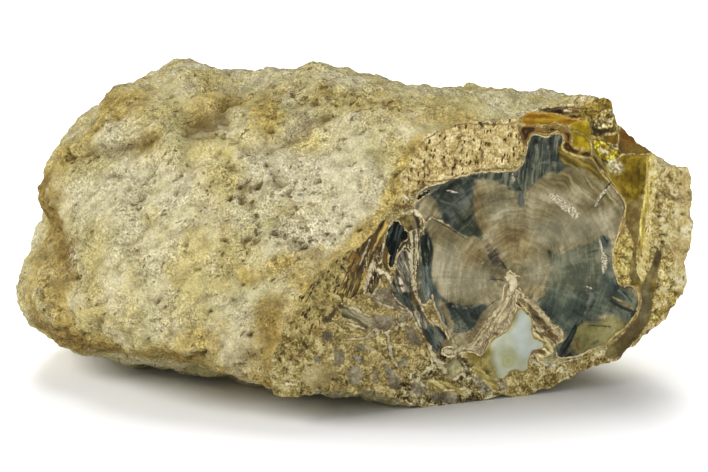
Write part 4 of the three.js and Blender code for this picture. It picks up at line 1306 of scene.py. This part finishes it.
        (-45.6, 5.4, 0.15, -45.8, 4.2, 0.15), (-49.2, -2.4, 0.2, -49.6, -3.8, 0.25),
        (-48, -5.6, 0.25, -48.4, -6.6, 0.2), (-42.2, 4.6, 0.3, -42.5, 3.6, 0.2),
        (-42, 2.4, 0.3, -43, 2, 0.2), (-41, 6.6, 0.2, -40.4, 5.6, 0.2), (-39.8, 3.4, 0.3, -40.2, 1.6, 0.3),
        (-41.6, 0.4, 0.3, -41, -1, 0.2), (-37.8, 10.4, 0.3, -37, 8.6, 0.3),
        (-33.4, 15, 0.3, -34.4, 13.6, 0.2), (-32.4, 3.8, 0.2, -33, 2.4, 0.3),
        (-34.8, 0.6, 0.3, -34, 0.2, 0.2), (-49, -6.9, 0.2, -48.9, -7, 0.2),
        (-45.6, -10.5, 0.25, -45.3, -10.6, 0.2), (-49.4, -14.6, 0.15, -48.6, -14.7, 0.15),
        (-43.6, -18.4, 0.3, -42.8, -18.8, 0.2), (-40.2, -19.4, 0.25, -40.1, -20.2, 0.2),
        (-26.2, -12.8, 0.15, -25.6, -13.6, 0.2), (-24, -13.8, 0.15, -23.8, -14, 0.15),
        (-21.4, -16.4, 0.2, -21, -16.5, 0.15), (-27.4, 9.6, 0.3, -26.8, 11, 0.3),
        (-28.2, 1.4, 0.3, -26.8, 0.9, 0.3), (-22, 26.2, 0.1, -21.8, 27, 0.12),
        (18.4, 36.2, 0.3, 19, 35.6, 0.3), (19.6, 32, 0.25, 20.6, 31.2, 0.3, 21.6, 31.4, 0.2),
        (22.6, 32.4, 0.3, 24, 32, 0.25, 25.2, 32.4, 0.2), (22, 26, 0.25, 23, 25.3, 0.3),
        (-29.6, 3.6, 0.15, -28.8, 3.8, 0.12), (11.8, -25.4, 0.2, 12.6, -25.8, 0.2),
        (5, -19.6, 0.15, 6, -20.6, 0.2), (-6.6, -24.6, 0.15, -5.8, -25.6, 0.15),
        (36.2, 1, 0.2, 36.6, 0.2, 0.15),
    ), ("060504", "3E2E10"), fray=0.6, blur=0.18, strength=0.9),
    Vein("orange_sliver", (
        (25.3, -6.3, 0.14, 27, -7.1, 0.28, 29, -8.5, 0.32, 30.9, -9.7, 0.18),
        (-19.6, -2, 0.1, -19.4, -3.2, 0.12), (-17, -8.8, 0.1, -15.8, -10.4, 0.1),
        (29.6, -4.8, 0.14, 31.4, -5.6, 0.14, 31.8, -7.4, 0.12),
    ), ("563006", "B4A86E"), fray=0.35, even=True),
)

# The olive eye in the pool of chalcedony: its middle, and its colours by their place from the middle out.
EYE = (-0.8, -18.8)
EYE_RINGS = ((0.1, "A09A64"), (0.95, "A3A582"), (0.26, "969262"), (0.44, "A3A074"), (0.7, "96965F"))
# The colour of dirt and painted shade in the polished face's open pores.
PORE_DIRT_AND_SHADE = "3A2E14"


@dataclass
class FacePainter:
    """Paints the polished face layer over layer: colour, gloss and fine relief together.

    Its clouds have their width in millimetres, how many finer sizes are mixed in, and how strong those are.
    Shards, fibres and pores have a length and a width in millimetres. Growth rings and rays have a width
    outwards in millimetres, and how often they change in one radian round the pith.
    """

    drawing: DrawingFrame
    number: int
    soft_clouds: Point = (7.0, 5.0, 0.5)
    fray_clouds: Point = (1.5, 5.0, 0.6)
    edge_clouds: Point = (1.2, 6.0, 0.72)
    sway_clouds: Point = (4.5, 2.0, 0.5)
    rubble_clouds: Point = (2.4, 7.0, 0.68)
    speck_clouds: Point = (0.5, 3.0, 0.5)
    crumb_width: float = 1.1
    grain_width: float = 0.8
    band_width: float = 0.8
    shard: Point = (3.4, 1.3)
    shard_tilt: float = -34.0
    fibre: Point = (6.0, 0.8)
    pore: Point = (1.5, 0.7)
    ring: Point = (0.8, 2.2)
    ray: Point = (7.0, 30.0)
    specular: float = 0.25

    def __post_init__(self) -> None:
        """Starts the material with the patterns that its layers share."""
        self.material = bpy.data.materials.new(f"polished_agatised_wood_{self.number}")
        self.material.use_nodes = True
        self.tree = tree = self.material.node_tree
        place = add(tree, "TexCoord").outputs["Object"]
        centre = -self.drawing.pith / MM
        # One unit is one millimetre, counted from the pith.
        self.mm = add(tree, "Mapping", {"Vector": place, "Location": centre, "Scale": (1 / MM,) * 3})
        clouds = (self.soft_clouds, self.fray_clouds, self.edge_clouds, self.sway_clouds,
                  self.rubble_clouds, self.speck_clouds)
        self.soft, self.fray, edge, sway, self.rubble, self.speck = (
            add(tree, "TexNoise",
                {"Vector": self.mm, "Scale": 1 / width, "Detail": detail, "Roughness": finer})
            for width, detail, finer in clouds
        )
        self.fray_vector = self.fray.outputs["Color"]
        self.rubble.inputs["Distortion"].default_value = 1.2
        wander = add(tree, "Math", {0: edge, 1: sway}, operation="ADD")
        # How far frayed edges wander: mostly between -1 and 1 mm times their fray.
        self.wander = add(tree, "Math", {0: wander, 1: 2.6, 2: -2.6}, operation="MULTIPLY_ADD")
        self.warp = add(tree, "MixRGB", {0: 1.0, 1: self.mm, 2: self.fray_vector}, blend_type="ADD")
        self.cells, grains = (
            add(tree, "TexVoronoi", {"Vector": self.warp, "Scale": 1 / width}, feature="F1")
            for width in (self.crumb_width, self.grain_width)
        )
        shards = self.drawn_out(self.warp, self.shard, self.shard_tilt)
        self.shards = add(tree, "TexVoronoi", {"Vector": shards, "Scale": 1.0}, feature="F1")
        clouds = add(tree, "Math", {0: self.soft, 1: 0.6}, operation="MULTIPLY")
        self.clouds = add(tree, "Math", {0: self.fray, 1: 0.4, 2: clouds}, operation="MULTIPLY_ADD")
        turned = self.polar()
        rings = add(tree, "Mapping", {0: turned, "Scale": (1 / self.ring[0], self.ring[1], 1)})
        self.rings = add(tree, "TexNoise", {"Vector": rings, "Scale": 1.0, "Detail": 4.0})
        rays = add(tree, "Mapping", {0: turned, "Scale": (1 / self.ray[0], self.ray[1], 1)})
        rays = add(tree, "TexNoise", {"Vector": rays, "Scale": 1.0, "Detail": 3.0})
        # The rings show more than the rays.
        wood = add(tree, "Math", {0: rays, 1: 0.5, 2: self.rings}, operation="MULTIPLY_ADD")
        wood = add(tree, "Math", {0: wood, 1: 0.42, 2: -0.415}, operation="MULTIPLY_ADD")
        wood = add(tree, "Math", {0: self.fray, 1: 0.3, 2: wood}, operation="MULTIPLY_ADD")
        self.wood = add(tree, "Math", {0: self.soft, 1: 0.9, 2: wood}, operation="MULTIPLY_ADD")
        gap = add(tree, "MapRange", {0: grains.outputs[0], 1: 0.25, 2: 0.65, 3: 0.2, 4: 0.0})
        tone = add(tree, "SeparateXYZ", {0: grains.outputs["Color"]})
        tone = add(tree, "Math", {0: tone, 1: 0.26, 2: gap}, operation="MULTIPLY_ADD")
        self.crystals = add(tree, "Math", {0: self.rubble, 1: 0.5, 2: tone}, operation="MULTIPLY_ADD")
        self.colour = self.ramp(self.crumbs(), BRECCIA)
        self.gloss = add(tree, "MapRange", {0: self.fray, 3: 0.45, 4: 0.75})
        self.relief = self.crumbs()

    def drawn_out(self, place: Feed, size: Point, tilt: float) -> Node:
        """A coordinate in which a pattern comes out long and narrow.

        Args:
            place: The place on the face, in millimetres.
            size: How long and how wide one piece of the pattern is, in millimetres.
            tilt: How the pattern is turned, in degrees.

        Returns:
            The coordinate. One piece of the pattern is one unit in it.
        """
        turned = add(self.tree, "Mapping", {0: place, "Rotation": (0, math.radians(tilt), 0)})
        return add(self.tree, "Mapping", {0: turned, "Scale": (1 / size[0], 1, 1 / size[1])})

    def polar(self) -> Node:
        """Radius and turn round the pith as a coordinate, in which growth rings and rays lie straight."""
        tree = self.tree
        parts = add(tree, "SeparateXYZ", {0: self.mm})
        turn = add(tree, "Math", {0: parts.outputs["Z"], 1: parts.outputs["X"]}, operation="ARCTAN2")
        radius = add(tree, "VectorMath", {0: self.mm}, operation="LENGTH").outputs["Value"]
        radius = add(tree, "Math", {0: self.soft, 1: 5.0, 2: radius}, operation="MULTIPLY_ADD")
        return add(tree, "CombineXYZ", {0: radius, 1: turn})

    def ramp(self, value: Feed, colours: Sequence[str]) -> Node:
        """Turns a pattern into colours from dark to light.

        Args:
            value: The pattern, around one half.
            colours: Two or three hex colours.

        Returns:
            The colour.
        """
        stops = [(0.33, colours[0]), (0.67, colours[-1])]
        if len(colours) > 2:
            stops.append((0.5, colours[1]))
        return add(self.tree, "ValToRGB", {0: value}, ramp=stops)

    def crumbs(self) -> Node:
        """Angular crumbs, each of its own tone, with speckle on them."""
        tone = add(self.tree, "SeparateXYZ", {0: self.cells.outputs["Color"]})
        tone = add(self.tree, "Math", {0: tone, 1: 0.16, 2: -0.38}, operation="MULTIPLY_ADD")
        shard = add(self.tree, "SeparateXYZ", {0: self.shards.outputs["Color"]})
        for pattern, weight in ((shard, 0.18), (self.rubble, 0.82), (self.speck, 0.6)):
            tone = add(self.tree, "Math", {0: pattern, 1: weight, 2: tone}, operation="MULTIPLY_ADD")
        return tone

    def pattern(self, zone: Zone, depth: Feed) -> Node:
        """A zone's pattern, around one half.

        Args:
            zone: The zone.
            depth: How deep inside the zone the surface is, in millimetres.

        Returns:
            The pattern's value.
        """
        tree = self.tree
        if zone.grain is Grain.FIBRES:
            fibres = add(tree, "MixRGB", {0: 1.2, 1: self.mm, 2: self.fray_vector}, blend_type="ADD")
            fibres = self.drawn_out(fibres, self.fibre, zone.run)
            return add(tree, "TexNoise", {"Vector": fibres, "Scale": 1.0, "Detail": 4.0})
        if zone.grain is Grain.BANDS:
            bands = add(tree, "Math", {0: self.soft, 1: 2.5, 2: depth}, operation="MULTIPLY_ADD")
            bands = add(tree, "CombineXYZ", {0: bands})
            return add(tree, "TexNoise", {"Vector": bands, "Scale": 1 / self.band_width, "Detail": 3.0})
        if zone.grain is Grain.CRUMBS:
            return self.crumbs()
        if zone.grain is Grain.SPONGE:
            holes = self.drawn_out(self.warp, self.pore, zone.run)
            hole = add(tree, "TexVoronoi", {"Vector": holes, "Scale": 1.0}, feature="F1")
            size = add(tree, "SeparateXYZ", {0: hole.outputs["Color"]})
            wall = add(tree, "Math", {0: size, 1: -0.62, 2: hole.outputs[0]}, operation="MULTIPLY_ADD")
            wall = add(tree, "MapRange", {0: wall, 1: -0.28, 2: -0.12, 3: -0.1, 4: 0.24})
            return add(tree, "Math", {0: self.crumbs(), 1: 0.6, 2: wall}, operation="MULTIPLY_ADD")
        shared = {Grain.CALM: self.soft, Grain.CLOUDS: self.clouds, Grain.WOOD: self.wood,
                  Grain.RINGS: self.rings, Grain.CRYSTALS: self.crystals}
        return shared[zone.grain]

    def cover(self, mask: Feed, colour: Feed | tuple, roughness: float,
              relief: Feed | float) -> None:
        """Lays one coat over what is there.

        Args:
            mask: Where the coat lies, from 0 to 1.
            colour: Its colour.
            roughness: Its roughness.
            relief: Its fine relief.
        """
        self.colour = add(self.tree, "MixRGB", {0: mask, 1: self.colour, 2: colour})
        self.gloss = add(self.tree, "Mix", {0: mask, 2: self.gloss, 3: roughness})
        self.relief = add(self.tree, "Mix", {0: mask, 2: self.relief, 3: relief})

    def lay(self, zone: Zone) -> None:
        """Paints one zone: its pattern inside its frayed edge, and its rim line on the edge."""
        tree = self.tree
        depth = add(tree, "Attribute", attribute_name=zone.name).outputs["Fac"]
        depth = add(tree, "Math", {0: self.wander, 1: zone.fray, 2: depth}, operation="MULTIPLY_ADD")
        mask = add(tree, "MapRange", {0: depth, 1: -zone.blur, 2: zone.blur, 4: zone.strength},
                   interpolation_type="SMOOTHSTEP")
        pattern = self.pattern(zone, depth)
        dull = zone.grain in (Grain.CRUMBS, Grain.SPONGE)
        self.cover(mask, self.ramp(pattern, zone.colours), zone.roughness, pattern if dull else 0.5)
        if zone.rim:
            away = add(tree, "Math", {0: depth}, operation="ABSOLUTE")
            away = add(tree, "Math", {0: self.rubble, 1: 0.8, 2: away}, operation="MULTIPLY_ADD")
            away = add(tree, "Math", {0: away, 1: -0.38}, operation="ADD")
            near, far = 0.6 * zone.rim_width, 1.4 * zone.rim_width
            line = add(tree, "MapRange", {0: away, 1: near, 2: far, 3: 1.0, 4: 0.0},
                       interpolation_type="SMOOTHSTEP")
            self.cover(line, linear(zone.rim), zone.roughness, 0.5)

    def draw(self, vein: Vein) -> None:
        """Paints one kind of vein along its strokes."""
        tree = self.tree
        nearest = add(tree, "Attribute", attribute_name=vein.name).outputs["Vector"]
        wander = add(tree, "VectorMath", {0: self.fray_vector, 1: (0.5,) * 3}, operation="SUBTRACT")
        wander = add(tree, "VectorMath", {0: wander, "Scale": 2 * vein.fray}, operation="SCALE")
        offset = add(tree, "VectorMath", {0: nearest, 1: wander}, operation="ADD")
        offset = add(tree, "VectorMath", {0: offset, 1: (1, 1, 0)}, operation="MULTIPLY")
        away = add(tree, "VectorMath", {0: offset}, operation="LENGTH").outputs["Value"]
        width = add(tree, "SeparateXYZ", {0: nearest}).outputs["Z"]
        if not vein.even:
            # A vein swells, thins and breaks along its way.
            swell = add(tree, "MapRange", {0: self.rubble, 1: 0.36, 2: 0.64, 3: 0.2, 4: 1.7})
            width = add(tree, "Math", {0: width, 1: swell}, operation="MULTIPLY")
        depth = add(tree, "Math", {0: width, 1: away}, operation="SUBTRACT")
        if vein.edging:
            dark = add(tree, "MapRange", {0: depth, 1: -0.5, 2: -0.1, 4: 0.55},
                       interpolation_type="SMOOTHSTEP")
            self.cover(dark, linear(vein.edging), 0.4, 0.45)
        mask = add(tree, "MapRange", {0: depth, 1: -vein.blur, 2: vein.blur, 4: vein.strength},
                   interpolation_type="SMOOTHSTEP")
        self.cover(mask, self.ramp(self.speck if vein.grainy else self.rubble, vein.colours), 0.4, 0.5)

    def draw_eye(self) -> None:
        """Paints the eye in the chalcedony: olive rings round a pale middle."""
        tree = self.tree
        middle = (EYE[0], 0, EYE[1])
        away = add(tree, "VectorMath", {0: self.mm, 1: middle}, operation="DISTANCE").outputs["Value"]
        away = add(tree, "Math", {0: self.fray, 1: 0.5, 2: away}, operation="MULTIPLY_ADD")
        share = add(tree, "Math", {0: away, 1: 0.4}, operation="MULTIPLY")
        rings = add(tree, "ValToRGB", {0: share}, ramp=EYE_RINGS)
        mask = add(tree, "MapRange", {0: away, 1: 1.3, 2: 2.4, 3: 0.85, 4: 0.0},
                   interpolation_type="SMOOTHSTEP")
        self.cover(mask, rings, 0.2, 0.5)

    def finish(self) -> bpy.types.Material:
        """Closes the material: fine specks, dirt and painted shade in the open pores, and the polish.

        Returns:
            The finished material.
        """
        tree = self.tree
        shader = tree.nodes["Principled BSDF"]
        # The duller the mineral, the more it is specked.
        amount = add(tree, "MapRange", {0: self.gloss, 1: 0.15, 2: 0.6, 3: 0.08, 4: 1.0})
        speck = add(tree, "MapRange", {0: self.speck, 1: 0.25, 2: 0.75, 3: 0.76, 4: 1.22})
        colour = add(tree, "MixRGB", {0: amount, 1: self.colour, 2: speck}, blend_type="MULTIPLY")
        # Dirt and painted shade in the open pores: the deeper, the darker.
        pore = add(tree, "Attribute", attribute_name="pore").outputs["Fac"]
        dirt_and_shade_amount = add(tree, "MapRange", {0: pore, 1: 0.1, 2: 1.0, 4: 0.85})
        colour = add(tree, "MixRGB", {0: dirt_and_shade_amount, 1: colour, 2: linear(PORE_DIRT_AND_SHADE)})
        tree.links.new(colour.outputs[0], shader.inputs["Base Color"])
        tree.links.new(self.gloss.outputs[0], shader.inputs["Roughness"])
        shader.inputs["Specular IOR Level"].default_value = self.specular
        bump = add(tree, "Bump", {"Height": self.relief, "Strength": 0.5, "Distance": 0.6 * MM})
        tree.links.new(bump.outputs[0], shader.inputs["Normal"])
        return self.material


@dataclass
class PolishedFace:
    """The sawn and polished end: the cut, its fine grid, and where each mineral lies on it.

    Its lengths are in millimetres. Between the minerals lie crumbs, whose pores have a depth of their own.
    A mineral whose pores are as deep as a cavity is one open hollow with an uneven floor.
    """

    grid: float = 0.55
    snap: float = 0.03
    pores_between: float = 0.35
    cavity: float = 2.0
    # A pore opens where its pattern is above the first, and is at its deepest this far above that.
    pore_opens: float = 0.34
    pore_slope: float = 0.3
    layers_at_most: int = 26
    faces_at_least: int = 300
    touched: dict[str, np.ndarray] = field(default_factory=dict)

    def saw(self, stone: Object, drawing: DrawingFrame) -> None:
        """Cuts the stone at the polished face, closes it with a flat face and rules a fine grid on that.

        Args:
            stone: The rough stone.
            drawing: The drawing frame.
        """
        shape = bmesh.new()
        shape.from_mesh(stone.data)
        everything = shape.verts[:] + shape.edges[:] + shape.faces[:]
        cut = bmesh.ops.bisect_plane(shape, geom=everything, dist=1e-6, plane_co=drawing.pith,
                                     plane_no=(0, -1, 0), clear_outer=True)["geom_cut"]
        rim = [item for item in cut if isinstance(item, bmesh.types.BMEdge) and item.is_boundary]
        caps = bmesh.ops.edgeloop_fill(shape, edges=rim, mat_nr=CUT)["faces"]
        log.info("polished face: %d outline(s), %d corners", len(caps), len(rim))
        for axis in (Vector((1, 0, 0)), Vector((0, 0, 1))):
            self.rule(shape, axis, drawing)
        bmesh.ops.recalc_face_normals(shape, faces=shape.faces[:])
        for face in shape.faces:
            face.smooth = True
        for edge in shape.edges:
            if len({face.material_index for face in edge.link_faces}) > 1:
                edge.smooth = False
        shape.to_mesh(stone.data)
        shape.free()

    def mark(self, stone: Object, drawing: DrawingFrame) -> None:
        """Sinks the open pores, and keeps where each mineral and each vein lies, for the material.

        Args:
            stone: The sawn stone.
            drawing: The drawing frame.
        """
        mesh = stone.data
        places = places_of(mesh)
        drawn = drawing.drawn(places)
        on_face = drawn[:, 1] < self.snap
        points = np.column_stack([drawn[on_face, 0], drawn[on_face, 2] - drawing.pith.z / MM])
        inner = np.ones(len(mesh.vertices), bool)
        for edge in mesh.edges:
            if edge.use_edge_sharp:
                inner[list(edge.vertices)] = False
        top = np.zeros(len(points))
        wanted = np.full(len(points), self.pores_between)
        for zone in ZONES:
            depth = zone.depth(points)
            wanted = np.where(depth > 0, zone.pores, wanted)
            values = np.full(len(drawn), FAR_OUTSIDE)
            values[on_face] = depth
            store(mesh, zone.name, values)
            self.touched[zone.name] = values > -zone.reach
        for place, (point, size) in enumerate(zip(points, wanted)):
            if size > 0:
                # Deep pores are wide as well.
                hole = noise.fractal(Vector((*point, 3.0)) / (0.9 + 0.5 * size), 1.0, 2.0, 2)
                pore = min(max((hole - self.pore_opens) / self.pore_slope, 0.0), 1.0)
                top[place] = pore if size < self.cavity else 0.5 + 0.5 * hole
        sunk = np.zeros(len(drawn))
        sunk[on_face] = top * wanted
        sunk[~inner] = 0.0
        places[:, 1] += sunk * MM
        mesh.vertices.foreach_set("co", places.ravel())
        # A cavity's floor gets less dirt and painted shade than a pore.
        dirt_and_shade = np.zeros(len(drawn))
        dirt_and_shade[on_face] = np.where(wanted < self.cavity, top, 0.4 * top)
        store(mesh, "pore", dirt_and_shade)
        for vein in VEINS:
            layer = mesh.attributes.new(vein.name, "FLOAT_VECTOR", "POINT")
            values = np.full((len(drawn), 3), -1.0)
            values[on_face] = vein.field(points)
            layer.data.foreach_set("vector", values.astype(np.float32).ravel())
            self.touched[vein.name] = values[:, 2] > 0

    def dress(self, stone: Object, drawing: DrawingFrame) -> None:
        """Parts the polished face into panels and paints on each the minerals and veins that lie on it.

        Every panel is painted in the same order with the same patterns, so nothing shows where two meet. One
        material with all the layers would be too long to render.

        Args:
            stone: The sawn and marked stone, whose other faces have their material already.
            drawing: The drawing frame.
        """
        mesh = stone.data
        kinds = np.empty(len(mesh.polygons), np.int32)
        starts = np.empty(len(mesh.polygons), np.int32)
        middles = np.empty(len(mesh.polygons) * 3)
        corners = np.empty(len(mesh.loops), np.int32)
        mesh.polygons.foreach_get("material_index", kinds)
        mesh.polygons.foreach_get("loop_start", starts)
        mesh.polygons.foreach_get("center", middles)
        mesh.loops.foreach_get("vertex_index", corners)
        polished = np.flatnonzero(kinds == CUT)
        touched = {name: np.logical_or.reduceat(there[corners], starts)
                   for name, there in self.touched.items()}
        for panel in self.panels(polished, middles.reshape(-1, 3)[:, (0, 2)], touched):
            names = {name for name, there in touched.items() if there[panel].any()}
            kinds[panel] = len(mesh.materials)
            mesh.materials.append(self.paint(names, len(mesh.materials), drawing))
            log.info("polished face: panel %d has %d layers", len(mesh.materials) - 1, len(names))
        mesh.polygons.foreach_set("material_index", kinds)

    def panels(self, faces: np.ndarray, middles: np.ndarray,
               touched: dict[str, np.ndarray]) -> list[np.ndarray]:
        """Halves a set of faces until each part has few enough layers.

        Args:
            faces: The faces' numbers.
            middles: The middle of every face of the stone.
            touched: For each layer, the faces that it may show on.

        Returns:
            The parts, as the numbers of their faces.
        """
        layers = sum(there[faces].any() for there in touched.values())
        if layers <= self.layers_at_most or len(faces) < self.faces_at_least:
            return [faces]
        spread = middles[faces]
        across = spread[:, np.argmax(np.ptp(spread, axis=0))]
        low = across < np.median(across)
        return self.panels(faces[low], middles, touched) + self.panels(faces[~low], middles, touched)

    @staticmethod
    def paint(names: set[str], number: int, drawing: DrawingFrame) -> bpy.types.Material:
        """Paints one panel's minerals and veins over each other.

        Args:
            names: The names of the layers that lie on the panel.
            number: The panel's number.
            drawing: The drawing frame.

        Returns:
            The panel's material.
        """
        painter = FacePainter(drawing, number)
        for zone in ZONES:
            if zone.name in names:
                painter.lay(zone)
        for vein in VEINS:
            if vein.name in names:
                painter.draw(vein)
        if "pool" in names:
            painter.draw_eye()
        return painter.finish()

    def rule(self, shape: bmesh.types.BMesh, axis: Vector, drawing: DrawingFrame) -> None:
        """Cuts the flat face into strips across an axis.

        Args:
            shape: The sawn stone.
            axis: The direction across the strips.
            drawing: The drawing frame.
        """
        cap = [face for face in shape.faces if face.material_index == CUT]
        places = [vert.co.dot(axis) for face in cap for vert in face.verts]
        step = self.grid * MM
        start = drawing.pith.dot(axis)
        for line in range(math.ceil((min(places) - start) / step), math.ceil((max(places) - start) / step)):
            where = start + line * step
            spans = {face: [vert.co.dot(axis) for vert in face.verts] for face in cap}
            crossed = [face for face, span in spans.items() if min(span) < where < max(span)]
            around = {item for face in crossed for item in (*face.verts, *face.edges)}
            made = bmesh.ops.bisect_plane(shape, geom=[*around, *crossed], dist=self.snap * MM,
                                          plane_co=axis * where, plane_no=axis)["geom"]
            faces = [item for item in made if isinstance(item, bmesh.types.BMFace)]
            faces += [face for face in cap if face.is_valid]
            cap = [face for face in dict.fromkeys(faces) if face.material_index == CUT]


@dataclass
class Studio:
    """A pale floor, soft light from above and in front, and the camera."""

    lens: float = 120.0
    azimuth: float = -22.0
    elevation: float = 12.4
    distance: float = 529.0
    aim_left: float = 35.6
    aim_up: float = 9.8
    floor_size: float = 12.0
    floor_colour: str = "FAFAFA"
    room_strength: float = 0.36
    backdrop_strength: float = 1.2

    def place_camera(self, drawing: DrawingFrame) -> None:
        """Stands the camera to the left of the polished face and a little above it.

        Args:
            drawing: The drawing frame, whose pith the camera's aim is measured from.
        """
        turn = Matrix.Rotation(math.radians(self.azimuth), 3, "Z")
        turn = turn @ Matrix.Rotation(math.radians(90 - self.elevation), 3, "X")
        right, up, back = turn.col
        aim = drawing.pith - right * (self.aim_left * MM) + up * (self.aim_up * MM)
        lens = bpy.data.cameras.new("camera")
        lens.lens = self.lens
        lens.sensor_width = 36.0
        lens.clip_start = 0.01
        camera = show("camera", lens)
        camera.matrix_world = Matrix.Translation(aim + back * (self.distance * MM)) @ turn.to_4x4()
        bpy.context.scene.camera = camera

    def lay_floor(self) -> Object:
        """Lays the floor, matt and almost white.

        Returns:
            The floor.
        """
        shape = bmesh.new()
        bmesh.ops.create_grid(shape, x_segments=1, y_segments=1, size=self.floor_size / 2)
        mesh = bpy.data.meshes.new("floor")
        shape.to_mesh(mesh)
        shape.free()
        floor = show("floor", mesh)
        material = bpy.data.materials.new("matt_white_paper")
        material.use_nodes = True
        shader = material.node_tree.nodes["Principled BSDF"]
        shader.inputs["Base Color"].default_value = linear(self.floor_colour)
        shader.inputs["Roughness"].default_value = 1.0
        shader.inputs["Specular IOR Level"].default_value = 0.0
        mesh.materials.append(material)
        floor.visible_glossy = False
        return floor

    def hang_light(self, name: str, strength: float, softness: float, tilt: Point, only: Object) -> None:
        """Hangs one broad soft light, far enough away to light everything evenly.

        Args:
            name: The light's name.
            strength: Its irradiance in watts per square metre.
            softness: How wide it looks from the stone, in degrees.
            tilt: How it is turned from shining straight down, in degrees about X, Y and Z.
            only: The one object that it lights.
        """
        light = bpy.data.lights.new(name, "SUN")
        light.energy = strength
        light.angle = math.radians(softness)
        lamp = show(name, light)
        lamp.rotation_euler = [math.radians(angle) for angle in tilt]
        lit = bpy.data.collections.new(f"lit_by_{name}")
        lit.objects.link(only)
        lamp.light_linking.receiver_collection = lit

    def light_room(self, stone: Object, floor: Object) -> None:
        """Fills the room with soft light, and hangs lights of their own for the stone and the floor.

        Args:
            stone: The stone, lit from the front left.
            floor: The floor, lit from behind and from the left, so that the shadow falls forward.
        """
        world = bpy.data.worlds.new("soft_room")
        bpy.context.scene.world = world
        world.use_nodes = True
        tree = world.node_tree
        seen = add(tree, "LightPath").outputs["Is Camera Ray"]
        strength = add(tree, "MapRange", {0: seen, 3: self.room_strength, 4: self.backdrop_strength})
        tree.links.new(strength.outputs[0], tree.nodes["Background"].inputs["Strength"])
        tree.nodes["Background"].inputs["Color"].default_value = (1, 1, 1, 1)
        self.hang_light("window", strength=2.5, softness=38, tilt=(42, 0, -62), only=stone)
        self.hang_light("front_fill", strength=0.65, softness=60, tilt=(58, 0, -5), only=stone)
        self.hang_light("floor_rear_high", strength=1.6, softness=35, tilt=(-30, 0, -12), only=floor)
        self.hang_light("floor_rear_low", strength=2.8, softness=30, tilt=(-60, 0, -22), only=floor)
        self.hang_light("floor_left", strength=2.7, softness=35, tilt=(55, 0, -107), only=floor)
        bpy.context.scene.view_settings.view_transform = "Standard"


def main() -> None:
    """Builds the stone, dresses it and sets up the studio."""
    logging.basicConfig(level=logging.INFO, format="%(message)s")
    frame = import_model()
    drawing = DrawingFrame.of_record(frame["record"])

    studio = Studio()
    studio.place_camera(drawing)
    floor = studio.lay_floor()

    crust = Crust()
    stone = crust.build(frame["nodes"][NODE], drawing)
    face = PolishedFace()
    face.saw(stone, drawing)
    face.mark(stone, drawing)
    crust.stain(stone.data, drawing.drawn(places_of(stone.data)))
    stone.data.materials.append(CrustFinish().material(crust.run, crust.stretch))
    face.dress(stone, drawing)
    studio.light_room(stone, floor)
    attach(stone, "root")
    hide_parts(NODE)
    log.info("stone: %d triangles", sum(len(face.vertices) - 2 for face in stone.data.polygons))


if __name__ == "__main__":
    main()
